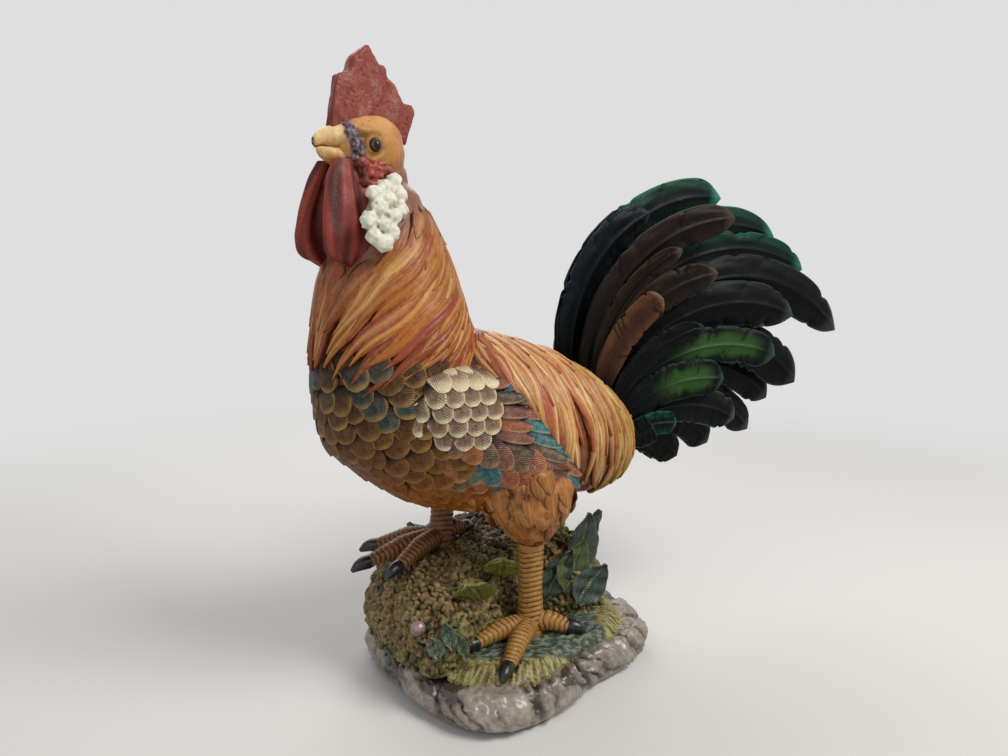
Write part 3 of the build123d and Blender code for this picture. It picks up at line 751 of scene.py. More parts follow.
# %% One lock of the saddle
SADDLE_TRAIL = 40
SADDLE_HEM = np.array([
    [30, -34, 136], [38, -25, 125.4], [42, -14, 115], [42, -6, 106], [41, 4, 95], [37, 14, 84], [32, 24, 77],
    [27, 36, 78], [21, 46, 84], [13, 54, 91], [4, 58, 97],
], float)
SADDLE_TINTS = [ink(code) for code in ("a65a34", "b06c3a", "9e4e32", "b37840", "a0522f")]


def saddle_flow(spot):
    """Off the ridge to both sides, then straight down."""
    ridge = ramp(spot[2], 112, 140)
    outward = math.copysign(1.0, spot[0]) * ramp(abs(spot[0]), -2, 8)
    return np.array([outward * (0.15 + 0.85 * ridge), 0.14 + 0.22 * ridge, -1.0])


def spaced(route, pitch):
    """Points along a route at an even pitch."""
    steps = distances(route)
    return moved_along(np.arange(pitch / 2, steps[-1], pitch), steps, route)


def saddle_lock(tip, side):
    """One lock of the saddle, which starts at the ridge of the back at the latest."""
    wish = 66 + dice.uniform(-10, 10)
    trail, _ = upstream(saddle_skin, tip, saddle_flow, wish, SADDLE_TRAIL)
    over = np.nonzero(side * trail[:, 0] < 0.8)[0]
    length = wish * (1 - (over[-1] + 1) / SADDLE_TRAIL) if len(over) else wish
    if length < SHORTEST_LOCK:
        return
    tint = SADDLE_TINTS[dice.integers(len(SADDLE_TINTS))] * dice.uniform(0.85, 1.12)
    olive = ramp(tip[1] - 0.4 * (tip[2] - 90), 8, 48)
    tint = mix(tint, ink("8a6226"), 0.7 * olive)
    colours = (tint, mix(ink("ecc98a"), ink("cdb05a"), olive), tint * 0.8)
    lay_lock(saddle, saddle_skin, tip, saddle_flow, length, dice.uniform(3.0, 4.4), colours, (1.3, 2.0),
             (0.3, 0.9), 0.95 * dice.random() ** 0.7)


# %% Saddle locks
saddle = Casting()
add_core(saddle, Skin(*rounded_copy(["saddle_hackle"], 1.2, 6)), ink("7c4422"), 0.5, depth=0.5)
for side in (+1, -1):
    for hem in spaced(SADDLE_HEM, 4.6):
        saddle_lock(saddle_skin.at(hem * [side, 1, 1] + dice.uniform(-2.5, 2.5, 3))[0], side)
saddle_solid = Skin(*rounded_copy(["saddle_hackle"], 1.4, 2))
on_saddle = [np.linalg.norm(saddle_solid.at(p)[0] - p) < 2.0 for p in saddle_skin.points]
for index in scattered(saddle_skin.points, 6.6, on_saddle):
    tip = saddle_skin.points[index]
    if abs(tip[0]) > 6:
        saddle_lock(tip, math.copysign(1, tip[0]))
saddle.piece("saddle_ribbons", "saddle_paint", saddle_paint, "saddle_hackle")

# %% [markdown]
# ## Breast, belly and flanks
# The torso is shingled with scallops. A middle line runs from the throat down under the belly. From places
# along it, rows are walked out to both sides, every second row shifted by half a feather. Copies along a
# curve would be quicker to lay, but rows that are walked over the skin follow its swelling.

# %% Shape and paint of a scallop
SCALE_SHARES = 1 - (1 - np.linspace(0, 1, 10)) ** 1.7
SCALE_LENGTH = 11.2
SCALE_HALF_WIDTH = 5.6


def scale_width(share):
    tail = np.clip((share - 0.45) / 0.55, 0, 1)
    return np.minimum(0.82 + 0.4 * share, np.sqrt(1 - tail ** 2.3))


def scale_look(middle, rim, root, rim_from):
    """Paint for one scallop: a dark root, a plain middle and a paler rim round the tip."""
    def look(share, across):
        out = np.maximum(np.abs(across) * ramp(share, 0.1, 0.5), share + 0 * across)
        paint = mix(root, middle, ramp(share, 0.2, 0.55) + 0 * across)
        shaft = np.exp(-(across / 0.09) ** 2) * ramp(share, 0.1, 0.3) * (1 - ramp(share, 0.7, 0.95))
        paint = mix(paint, middle * 0.45, 0.7 * shaft)
        paint = mix(paint, rim, ramp(out, rim_from, 0.96))
        sides = ramp(np.abs(across), 0.93, 1.0) + 0 * share
        depth = np.maximum(sides, ramp(0.34 - share, 0, 0.34) + 0 * across)
        return paint, np.maximum(depth, ramp(share, 0.985, 1.0) + 0 * across)
    return look


def lay_scale(casting, line, normals, half_width, lift, crown, look):
    line, normals = resample(line, normals, SCALE_SHARES)
    a = ACROSS[None, :]
    top = lift * (0.12 + 0.88 * SCALE_SHARES ** 0.8)[:, None] + crown * (1 - np.abs(a) ** 2)
    ribbon(casting, line, normals, half_width * scale_width(SCALE_SHARES) + 0.1, top, look)


# %% Rows of scallops


def torso_flow(spot):
    """Down the breast and back along the belly."""
    return np.array([0.0, 0.5 + 2.2 * ramp(92 - spot[2], 0, 20), -1.0])


def breast_colours(spot):
    """Middle, rim and root colours at a place on the torso."""
    high = ramp(spot[2], 118, 136)
    low = ramp(112 - spot[2], 0, 24)
    middle = mix(ink("5c3a1a"), ink("46301c"), high)
    middle = mix(middle, ink("884c17"), low)
    if dice.random() < 0.38 * high:
        middle = mix(middle, ink("183c3f"), 0.8)
    rim = mix(mix(ink("9e723e"), ink("aa8450"), high), ink("9e5f20"), low)
    rim = mix(middle * 1.3, rim, dice.uniform(0.25, 1.0))
    root = mix(ink("2b1d15"), ink("6b3f1d"), low)
    return middle * dice.uniform(0.75, 1.2), rim * dice.uniform(0.85, 1.1), root


def row_places(skin, start, flow, pitch, shift, stop):
    """Places along a row that runs out to both sides of its start."""
    places = [skin.at(start)[0]] if shift == 0 else []
    for hand in (+1, -1):
        spot, normal = skin.at(start)
        first = True
        while True:
            step = pitch * (1 - shift) if first else pitch
            first = False
            for _ in range(4):
                sideways = hand * unit(np.cross(normal, flow(spot)))
                spot, normal = skin.at(spot + sideways * step / 4)
            if stop(spot, hand):
                break
            places.append(spot)
    return places


def torso_stop(spot, hand):
    return spot[2] > 149 or spot[1] > 50 or spot[0] * hand < -1


def scallop(row, spot):
    """One scallop, a little out of line. The first row lies flat under the hackle, the belly's lie low."""
    swing = dice.uniform(-0.32, 0.32, 3)
    length = SCALE_LENGTH * dice.uniform(0.85, 1.15)
    start = spot + dice.uniform(-1.0, 1.0, 3)
    line, normals = walk(neck_skin, start, lambda place: torso_flow(place) + swing, length, 8)
    middle, rim, root = breast_colours(spot)
    lift = 0.7 if row == 0 else dice.uniform(1.3, 2.0) * (1 - 0.4 * ramp(100 - spot[2], 0, 20))
    crown = 0.2 if row == 0 else 0.55
    width = SCALE_HALF_WIDTH * dice.uniform(0.85, 1.12)
    look = scale_look(middle, rim, root, dice.uniform(0.66, 0.8))
    lay_scale(torso, line, normals, width, lift, crown, look)


# %% Scallops
ROW_PITCH = 6.6
SCALE_PITCH = 9.2
SPINE_START = (0, -98, 147)
SPINE_LENGTH = 186
HIDDEN_FROM = 2.6
FIRST_ROW_REAR = -56
torso = Casting()
add_core(torso, torso_skin, ink("3f2817"), 0.4)
spine, _ = walk(neck_skin, SPINE_START, torso_flow, SPINE_LENGTH, SPINE_LENGTH + 1)
scale_count = 0
for row, index in enumerate(np.arange(0, SPINE_LENGTH, ROW_PITCH).astype(int)):
    for spot in row_places(neck_skin, spine[index], torso_flow, SCALE_PITCH, 0.5 * (row % 2), torso_stop):
        outer, _ = body_skin.at(spot)
        hidden = np.linalg.norm(outer - spot) > HIDDEN_FROM
        if hidden or (row == 0 and spot[1] > FIRST_ROW_REAR):
            continue
        scallop(row, spot)
        scale_count += 1
torso.piece("torso_scallops", "breast_paint", breast_paint, "torso")
print("scallops", scale_count)

# %% [markdown]
# ## Wings
# The folded wing has three kinds of feather: neat scales on the shoulder with pale rims, long stacked bars in
# teal and rust behind them, and broad rounded coverts along the lower edge. The wing is nearly flat, so they
# are laid out in the side view, as a painter would see them, and thrown sideways onto the skin.

# %% Layout of a wing
SIDES = ((+1, "left"), (-1, "right"))
wing_skin = Skin(*rounded_copy(["torso", "left_wing", "right_wing"], 1.2, 10))
TEAL = ink("176a72")
RUST = ink("8f4c27")
MAUVE = ink("7a4a3c")
UMBER = ink("553f2e")
SLATE = ink("35504c")
# Rows on the shoulder: height of the tips, front end, rear end
SHOULDER_ROWS = [
    (138, -45, -32), (132.5, -53, -29), (127, -59, -27), (121.5, -60, -27), (116, -58, -29),
    (110.5, -52, -34),
]
# Other rows: first and last root, number, length, first and last angle, half width, paints
BAR_ROWS = [
    ((-33, 134), (-29, 106), 7, 17, 4, 20, 2.7, (MAUVE, UMBER, MAUVE, RUST)),
    ((-24, 133), (-14, 100), 8, 22, 10, 30, 2.7, (TEAL, UMBER, MAUVE, TEAL)),
    ((-13, 120), (-5, 92), 7, 24, 26, 40, 2.6, (TEAL, UMBER, TEAL, RUST)),
]
COVERT_ROWS = [
    ((-52, 119), (-20, 108), 6, 15, 55, 42, 4.8, (UMBER, RUST, UMBER, MAUVE)),
    ((-50, 111), (-12, 99), 7, 17, 58, 42, 4.9, (RUST, SLATE, TEAL, RUST)),
    ((-46, 103), (-24, 97), 4, 13, 60, 48, 4.8, (UMBER, RUST, SLATE)),
]

# %% Rows and paint of a wing
SIDE_STEPS = 9


def side_line(side, root, angle, length):
    """A straight course in the side view, thrown onto the wing."""
    tilt = math.radians(angle)
    spots = []
    normals = []
    for step in np.linspace(0, length, SIDE_STEPS):
        y = root[0] + math.cos(tilt) * step
        z = root[1] - math.sin(tilt) * step
        hit = wing_skin.cast((side * 90, y, z), (-side, 0, 0))
        spot, normal = wing_skin.at((side * 30, y, z) if hit is None else hit)
        spots.append(spot)
        normals.append(normal)
    return eased(np.array(spots)), unit(eased(np.array(normals), 3))


def bar_look(tint, rim, lower):
    """Paint for a bar: painted shade under its upper neighbour, a thin pale line along its lower edge and
    tip.
    """
    def look(share, across):
        down = across * lower
        # The part under the upper neighbour and the root are painted darker: painted shade.
        paint = mix(tint * 0.35, tint, ramp(down, -0.9, -0.2) * ramp(share, 0.05, 0.3))
        shaft = np.exp(-((down + 0.1) / 0.1) ** 2) * ramp(share, 0.1, 0.4)
        paint = mix(paint, tint * 0.5, 0.6 * shaft)
        line = np.maximum(np.exp(-((down - 0.78) / 0.14) ** 2), ramp(share, 0.93, 0.99) + 0 * across)
        paint = mix(paint, rim, 0.75 * line * ramp(share, 0.2, 0.5))
        depth = np.maximum(ramp(np.abs(across), 0.93, 1.0) + 0 * share, ramp(-down, 0.6, 1.0) + 0 * share)
        return paint, np.maximum(depth, ramp(share, 0.985, 1.0) + 0 * across)
    return look


def feather_row(casting, side, row, lift, make_look):
    """A row of feathers between two root places, turning from its first angle to its last."""
    first, last, count, length, first_angle, last_angle, half_width, tints = row
    for i in range(count):
        share = i / (count - 1)
        root = np.array(first) + (np.array(last) - np.array(first)) * share + dice.uniform(-0.5, 0.5, 2)
        line, normals = side_line(side, root, first_angle + (last_angle - first_angle) * share, length)
        tint = tints[i % len(tints)] * dice.uniform(0.85, 1.2)
        lay_scale(casting, line, normals, half_width, lift, 0.5, make_look(tint))


# %% Wing feathers
FEATHER_LIFT = 1.8
SHOULDER_PITCH = 6.6
for side, name in SIDES:
    wing = Casting()
    add_core(wing, Skin(*rounded_copy([f"{name}_wing"], 1.2, 6)), ink("3a2a20"), 0.6)
    for row in BAR_ROWS[::-1]:
        feather_row(wing, side, row, FEATHER_LIFT,
                    lambda tint: bar_look(tint, mix(tint, ink("d8bd92"), 0.55), -side))
    for row in COVERT_ROWS[::-1]:
        feather_row(wing, side, row, FEATHER_LIFT,
                    lambda tint: scale_look(tint, mix(tint, ink("c08a4e"), 0.6), tint * 0.35, 0.82))
    for row, (tip_z, front, rear) in list(enumerate(SHOULDER_ROWS))[::-1]:
        for y in np.arange(front + SHOULDER_PITCH / 2 * (row % 2), rear, SHOULDER_PITCH):
            line, normals = side_line(side, (y - 1.5, tip_z + 9), 80, 9.5)
            grey = ink("7c6048") * dice.uniform(0.85, 1.15)
            look = scale_look(grey, ink("e8d5ae"), ink("2e231c"), 0.7)
            lay_scale(wing, line, normals, 4.2, 1.7, 0.6, look)
    wing.piece(f"{name}_wing_feathers", "wing_paint", wing_paint, f"{name}_wing")

# %% [markdown]
# ## Thighs
# The drumsticks are covered with soft, lumpy tufts, and a fringe of tufts hides the seam where they leave the
# body. Hair could be grown here, but cast tufts are few and thick. Places for them are scattered over the
# skin, never closer than a set distance, and each tuft follows the leg down.

# %% One tuft
TUFT_SHARES = LOCK_SHARES[::2]
TUFT_START = np.array([0, 0, 5])


def thigh_flow(spot):
    return np.array([0.0, 0.18, -1.0])


def lay_tuft(casting, skin, place, length, half_width, raised):
    """A soft tuft that runs down over its place."""
    line, normals = walk(skin, place + TUFT_START, thigh_flow, length, 9)
    line, normals = resample(line, normals, TUFT_SHARES)
    tint = mix(ink("9c632e"), ink("855022"), dice.random()) * dice.uniform(0.9, 1.15)
    grooves = (dice.uniform(-0.5, -0.1), dice.uniform(0.1, 0.5))
    top = lock_top(TUFT_SHARES, 0.7, dice.uniform(0.3, 0.9), grooves) + raised
    look = lock_look(tint, ink("cf9450"), tint * 0.95, grooves, 0.0, 0.35)
    ribbon(casting, line, normals, half_width * lock_width(TUFT_SHARES) + 0.1, top, look)


# %% Thigh tufts
THIGH_TUCK = 4.0
THIGH_CUFF = 26.0
THIGH_TAPER = 0.3
torso_gap = np.array([np.linalg.norm(torso_skin.at(p)[0] - p) for p in body_skin.points])
for name in ("left", "right"):
    points, faces, normals = rounded_copy([f"{name}_thigh"], 0.9, 6)
    cuff = 1 - ramp(points[:, 2] - points[:, 2].min(), 0, THIGH_CUFF)
    hock = points[points[:, 2] < points[:, 2].min() + 4].mean(axis=0)
    points = points + (hock - points) * np.outer(THIGH_TAPER * cuff, [1, 1, 0])
    points = points + np.outer(THIGH_TUCK * cuff, [0, 0, 1])
    lumps = speckle(points, 8.0, 2)
    strokes = speckle(points * [1, 1, 0.28], 1.5, 3)
    points = points + normals * (1.7 * lumps + 0.45 * strokes)[:, None]
    paint = mix(ink("7e4b21"), ink("a57038"), ramp(lumps + 0.5 * strokes, -0.4, 0.5))
    thigh = Casting()
    thigh.add(points, faces, paint, depth_relief(ramp(-strokes - 0.6 * lumps, 0.15, 0.8)))
    thigh_skin = Skin(points, faces, normals)
    open_air = [np.linalg.norm(body_skin.at(p)[0] - p) < 4.0 for p in points]
    for index in scattered(points, 6.4, open_air):
        if points[index][2] > points[:, 2].min() + 12:
            lay_tuft(thigh, thigh_skin, points[index], dice.uniform(11, 17), dice.uniform(3.4, 5.4), -0.25)
    thigh_gap = np.array([np.linalg.norm(thigh_skin.at(p)[0] - p) for p in body_skin.points])
    fringe = (torso_gap < 2.2) & (thigh_gap > 0.8) & (thigh_gap < 9) & (body_skin.points[:, 2] < 92)
    fringe &= body_skin.points[:, 1] < hock[1] + 6
    for index in scattered(body_skin.points, 5.2, fringe):
        lay_tuft(thigh, body_skin, body_skin.points[index], dice.uniform(9, 13), dice.uniform(3.2, 5.0), 0.7)
    thigh.piece(f"{name}_thigh_tufts", "breast_paint", thigh_paint, f"{name}_thigh")

# %% [markdown]
# ## Tail
# The plumes are thick, round-ended blades that were cast flat and set into the boss like pages of a fan. Each
# follows an arc in its own page. A bevelled curve could give a plain blade. A ring of points swept along the
# arc also gives it a shaft on both faces, a raised rim, nicks in its edge and slanting splits where the barbs
# have parted.

# %% Layout of the tail
BOSS = np.array([43.94, 112.0])
TAIL_HINGE_Y = -32.06
ROOT_LINE = np.array([11.48, -13.68])
PAGE_YAW = 0.02495
TAIL_REACH = 100.0
PLUME_HALF_WIDTH = 9.2
PLUME_HALF_THICKNESS = 1.0
PLUME_EDGE = [(0, 0.42), (0.30, 0.86), (0.62, 1.0), (0.86, 0.97), (1, 0.92)]
PLUME_ROUND = (0.8, 0.92)
# Paints of a plume: centre, edge, rim. The rim colour is a painted sheen along the plume's edge.
FINISHES = {
    "emerald": ("08140f", "0d3629", "3a8a72"),
    "blue": ("07090c", "10141c", "343c4c"),
    "black": ("060707", "0a0d0c", "3c4643"),
    "brown": ("17100c", "241812", "5a493d"),
    "rust": ("3e251a", "563521", "8c6c56"),
    "green": ("2f4f24", "090f0c", "3f5e50"),
    "grey": ("0b0d0d", "141818", "5a6260"),
}
# A plume: page, how far its tip lies back and up, share of the root line, first slope, width, finish
PLUMES = {
    "sickles": [
        (0, 0.77, 1.03, 0.10, 99, 1.12, "emerald"), (1, 0.30, 0.94, 0, 101, 1.0, "blue"),
        (2, 1.06, 0.84, 0.25, 90, 1.06, "emerald"), (3, 1.22, 0.67, 0.35, 82, 1.0, "emerald"),
        (4, 1.42, 0.35, 0.45, 75, 1.3, "black"),
    ],
    "main_tail": [
        (0, 0.74, -0.24, 0.85, 28, 1.0, "black"), (1, 0.51, -0.28, 1.0, 5, 0.94, "black"),
        (2, 0.94, -0.17, 0.75, 40, 1.0, "grey"), (3, 1.02, 0, 0.65, 52, 1.0, "black"),
        (5, 1.12, 0.09, 0.58, 62, 1.3, "black"),
    ],
    "tail_coverts": [
        (6, 1.05, 0.44, 0.48, 68, 1.25, "black"), (7, 0.66, 0.91, 0.18, 95, 0.94, "brown"),
        (7, 0.70, -0.06, 0.80, 35, 1.0, "grey"), (8, 0.89, 0.25, 0.60, 60, 1.0, "green"),
        (9, 0.54, 0.65, 0.32, 85, 0.88, "brown"), (9, 0.59, 0.15, 0.68, 50, 1.0, "green"),
        (10, 0.25, 0.54, 0.30, 84, 0.75, "rust"), (10, 0.22, -0.06, 0.92, 15, 0.81, "black"),
        (9.6, 0.47, 0.40, 0.52, 72, 0.62, "black"), (8.4, 0.36, 0.76, 0.22, 92, 0.5, "brown"),
        (6.4, 0.16, 0.72, 0.12, 97, 0.5, "brown"), (9.5, 0.34, -0.05, 0.88, 32, 0.62, "emerald"),
    ],
}
HALF_ACROSS = np.array([0.08, 0.2, 0.4, 0.6, 0.78, 0.9, 0.97, 1])
FACE_ACROSS = np.concatenate([-HALF_ACROSS[::-1], [0], HALF_ACROSS])
RING_ACROSS = np.concatenate([FACE_ACROSS, FACE_ACROSS[-2:0:-1]])
RING_FACE = np.concatenate([np.ones(len(FACE_ACROSS)), -np.ones(len(FACE_ACROSS) - 2)])
PLUME_STEPS = 1 - (1 - np.linspace(0, 1, 110)) ** 1.7
print("plumes on each side", sum(len(rows) for rows in PLUMES.values()))

# %% Shape and paint of a plume


def plume_arc(back, up, root_share, first_slope):
    """Places (back, up) along a plume's arc and the slope at each."""
    root = BOSS + (2 * root_share - 1) * ROOT_LINE
    reach = BOSS + TAIL_REACH * np.array([back, up]) - root
    start = math.radians(first_slope)
    half_turn = start - math.atan2(reach[1], reach[0])
    radius = np.linalg.norm(reach) / (2 * math.sin(half_turn))
    slope = start - 2 * half_turn * PLUME_STEPS
    course_back = root[0] + radius * (math.sin(start) - np.sin(slope))
    course_up = root[1] + radius * (np.cos(slope) - math.cos(start))
    return np.stack([course_back, course_up], axis=1), slope


def nicked(half_width):
    """An edge with a few notches where the barbs have parted."""
    edge = half_width.copy()
    for _ in range(dice.integers(3, 6)):
        at = dice.uniform(0.35, 0.96)
        edge *= 1 - dice.uniform(0.06, 0.2) * np.exp(-((PLUME_STEPS - at) / 0.012) ** 2)
    return edge


def splits(a):
    """Slanting lines where the barbs of a plume have come apart, on a grid along and across it."""
    lines = 0 * PLUME_STEPS[:, None] * a
    for at in dice.uniform(0.35, 0.93, 7):
        hand = dice.choice((-1, 1))
        course = np.exp(-((PLUME_STEPS[:, None] - at - 0.07 * a) / 0.008) ** 2)
        lines = np.maximum(lines, course * ramp(a, 0.12, 0.35) * (np.sign(RING_ACROSS) == hand))
    return lines


def plume_paint(finish, a, split):
    """Paint for a plume: a wavering patch in its middle, a pale rim that is a painted sheen, and black in its
    root and splits.
    """
    centre, edge, rim = [ink(code) for code in FINISHES[finish]]
    share = PLUME_STEPS[:, None] + 0 * a
    patch = 1 - ramp(a + 0.1 * np.sin(share * 37 + 3 * np.sin(share * 11)), 0.35, 0.75)
    if finish == "green":
        patch = patch * ramp(share, 0.36, 0.62) * (1 - ramp(share, 0.84, 0.95))
    paint = mix(edge, centre, patch)
    # The pale rim along the edge and the tip is a painted sheen.
    wear_and_sheen = dice.uniform(0.4, 0.9) * ramp(np.maximum(a, share), 0.94, 0.99) * ramp(share, 0.3, 0.6)
    paint = mix(paint, rim, wear_and_sheen)
    return mix(paint, ink("040505"), np.maximum(0.85 * (1 - ramp(share, 0.12, 0.45)), 0.9 * split))


def plume(casting, side, row):
    """Adds one blade."""
    page, *arc, width, finish = row
    places, slope = plume_arc(*arc)
    yaw = PAGE_YAW * (page + 0.5)
    outline = PLUME_HALF_WIDTH * width * np.interp(PLUME_STEPS, *zip(*PLUME_EDGE))
    round_from = dice.uniform(*PLUME_ROUND)
    past = np.clip((PLUME_STEPS - round_from) / (1 - round_from), 0, 1)
    outline = outline * np.sqrt(1 - 0.99 * past ** 2)
    upper = nicked(outline)
    lower = nicked(outline)
    reach = np.where(RING_ACROSS > 0, upper[:, None], lower[:, None]) * RING_ACROSS
    a = np.abs(RING_ACROSS)
    body = PLUME_HALF_THICKNESS * np.sqrt(1 - a ** 8)
    shaft = 0.55 * np.exp(-(a / 0.07) ** 2) - 0.25 * np.exp(-((a - 0.2) / 0.09) ** 2)
    lip = 0.35 * np.exp(-((a - 0.9) / 0.06) ** 2)
    wave = 0.25 * np.sin(PLUME_STEPS[:, None] * 26 + 7 * a + page) * ramp(a, 0.15, 0.5)
    fade = ramp(1 - PLUME_STEPS, 0.0, 0.08)[:, None]
    split = splits(a)
    out = RING_FACE * (body + (shaft + lip + wave - 0.5 * split) * fade) - 1.6 * (width * a) ** 2 + 0.5
    back = places[:, :1] - np.sin(slope)[:, None] * reach
    z = places[:, 1:] + np.cos(slope)[:, None] * reach
    from_hinge = back - TAIL_HINGE_Y
    points = np.stack([
        side * (math.sin(yaw) * from_hinge + math.cos(yaw) * out),
        TAIL_HINGE_Y + math.cos(yaw) * from_hinge - math.sin(yaw) * out,
        z,
    ], axis=-1)
    paint = plume_paint(finish, a, split)
    beside_shaft = np.exp(-((a - 0.13) / 0.06) ** 2) * 0.7
    depth = np.clip(beside_shaft + 1 - ramp(PLUME_STEPS, 0.05, 0.3)[:, None], 0, 1)
    relief = np.stack([distances(places)[:, None] + 0 * a, reach, depth], axis=-1)
    faces = tube_faces(len(PLUME_STEPS), len(RING_ACROSS))
    casting.add(points, faces if side > 0 else flipped(faces), paint, relief)


# %% Plumes
for side, name in SIDES:
    for group, rows in PLUMES.items():
        fan = Casting()
        for row in rows:
            plume(fan, side, row)
        fan.piece(f"{name}_{group}_plumes", "tail_paint", tail_paint, f"{name}_{group}")

# %% [markdown]
# ## Legs
# Shanks and toes are tan, with dark ring grooves between the scales, and the claws are curved black cones. A
# tube is swept along the bone and its radius dips at every groove. A bump map could draw the rings, but cut
# into the mesh they also show at the leg's outline.

# %% Ringed limbs
RING_PITCH = 2.3
RING_WIDTH = 0.34
LIMB_COLUMNS = 22


def tube(casting, line, radii, tint, groove=0.52, rows_per_mm=2.6):
    """A limb with ring grooves along a line."""
    line = np.asarray(line, float)
    steps = distances(line)
    length = steps[-1]
    rows = max(8, int(length * rows_per_mm))
    shares = np.linspace(0, 1, rows)
    line = eased(moved_along(shares, steps / length, line), 12)
    radius = np.interp(shares, np.linspace(0, 1, len(radii)), radii)
    tangents = unit(np.gradient(line, axis=0))
    helper = np.array([1.0, 0, 0]) if abs(tangents[0][2]) > 0.7 else np.array([0, 0, 1.0])
    sides = unit(np.cross(tangents, helper))
    ups = np.cross(sides, tangents)
    turn = np.linspace(0, 2 * math.pi, LIMB_COLUMNS, endpoint=False)[None, :]
    phase = (shares[:, None] * length + 0.35 * np.cos(turn * 2) + 0.25 * np.sin(turn * 3)) / RING_PITCH
    dip = np.exp(-((phase - np.round(phase)) * RING_PITCH / RING_WIDTH) ** 2)
    dip = dip * ramp(shares, 0.02, 0.1)[:, None] * (1 - ramp(shares, 0.92, 1.0))[:, None]
    seam = np.exp(-((np.abs(np.sin(turn / 2 + 0.8)) - 0.95) / 0.03) ** 2) * 0.5
    size = radius[:, None] - groove * dip - 0.2 * seam
    points = line[:, None] + size[..., None] * (np.cos(turn)[..., None] * sides[:, None]
                                                + np.sin(turn)[..., None] * ups[:, None])
    depth = np.maximum(dip, seam + 0 * dip)
    relief = np.stack([shares[:, None] * length + 0 * turn, radius[:, None] * turn, depth], axis=-1)
    casting.add(points, flipped(tube_faces(rows, LIMB_COLUMNS)), tint, relief)


# %% Shanks, toes and claws
TOE_REACH = 40.0
TOE_ARCH = 2.0
CLAW_LENGTH = 7.5
# A leg: ankle, hock, paint, and where each toe steps to. The right leg's darker paint is painted shade from
# the body above it.
LEGS = {
    "left": ((24.5, -2.7, 23.26), (25, -3, 55.96), "a0743a", {
        "inner": (0.15, -0.925, -0.025), "middle": (0.75, -0.75, -0.10), "outer": (0.36, 0.50, -0.025),
        "hind": (-0.35, 0.35, 0),
    }),
    "right": ((-12, -30, 56.76), (-15, -27, 73.96), "7c5230", {
        "inner": (0.55, -0.85, -0.125), "middle": (0.125, -1.10, -0.15), "outer": (-0.375, -0.85, -0.125),
        "hind": (-0.20, 0.52, 0),
    }),
}
print("toes", sum(len(steps) for *_, steps in LEGS.values()))
for name, (ankle, hock, tint, steps) in LEGS.items():
    ankle = np.array(ankle)
    hock = np.array(hock)
    shank = Casting()
    tube(shank, [ankle - [0, 0, 4.6], ankle, ankle * 0.5 + hock * 0.5, hock, hock + [0.3, 0, 5]],
         [6.2, 5.8, 5.4, 5.8, 6.0], ink(tint))
    shank.piece(f"{name}_shank_rings", "leg_paint", leg_paint, f"{name}_shank")
    claws = Casting()
    for toe, step in steps.items():
        reach = np.array(step) * TOE_REACH
        heading = unit(reach)
        end = ankle + reach - heading * CLAW_LENGTH
        knuckle = ankle * 0.5 + end * 0.5 + [0, 0, TOE_ARCH]
        digit = Casting()
        tube(digit, [ankle, ankle * 0.75 + end * 0.25 + [0, 0, 1.2], knuckle, end, end + heading * 1.2],
             [4.6, 4.6, 4.4, 3.6, 2.8], ink(tint))
        digit.piece(f"{name}_{toe}_toe_rings", "leg_paint", leg_paint, f"{name}_{toe}_toe")
        tip = end + heading * CLAW_LENGTH - [0, 0, 1.6]
        claw = [end - heading, end + heading * 2.5 + [0, 0, 0.4], end + heading * 5.2 - [0, 0, 0.4], tip]
        tube(claws, claw, [3.1, 3.0, 2.3, 0.9], ink("1c1b1c"), groove=0.0, rows_per_mm=2.0)
    claws.piece(f"{name}_claw_tips", "claw_paint", claw_paint, f"{name}_claws")

# %% [markdown]
# ## Head
# The head was sculpted from lumps: a smooth ochre dome, a brow, a lidded eye, a warty red cheek and a rough
# band at the root of the beak. Blobs fused by a voxel remesh give the same soft joins as clay. Everything is
# worked out in the head's own frame and then turned a little to the bird's left, as the head is.

# %% The head's own frame
HEAD_PLACE = np.array([0.0, -64.5, 225.0])
HEAD_TURN = math.radians(18)
HEAD_SPIN = np.array([
    [math.cos(HEAD_TURN), -math.sin(HEAD_TURN), 0], [math.sin(HEAD_TURN), math.cos(HEAD_TURN), 0], [0, 0, 1],
])
EYE = np.array([11.3, -5.0, 1.0])
CERE_TURNS = np.radians(np.arange(-62, 243, 9))
UNTURNED = (0, 0, 0)


def from_head(points):
    return points @ HEAD_SPIN.T + HEAD_PLACE


def to_head(points):
    return (points - HEAD_PLACE) @ HEAD_SPIN


def cere_line(turn):
    """The rough band round the root of the beak, at a turn from the right side over the top."""
    y = -11.2 - 1.6 * math.sin(turn)
    girth = math.sqrt(1 - (y / 16.3) ** 2)
    return np.array([12.2 * girth * math.cos(turn), y, 0.6 + 13.4 * girth * math.sin(turn)])


print("left eye at", np.round(from_head(EYE), 1))

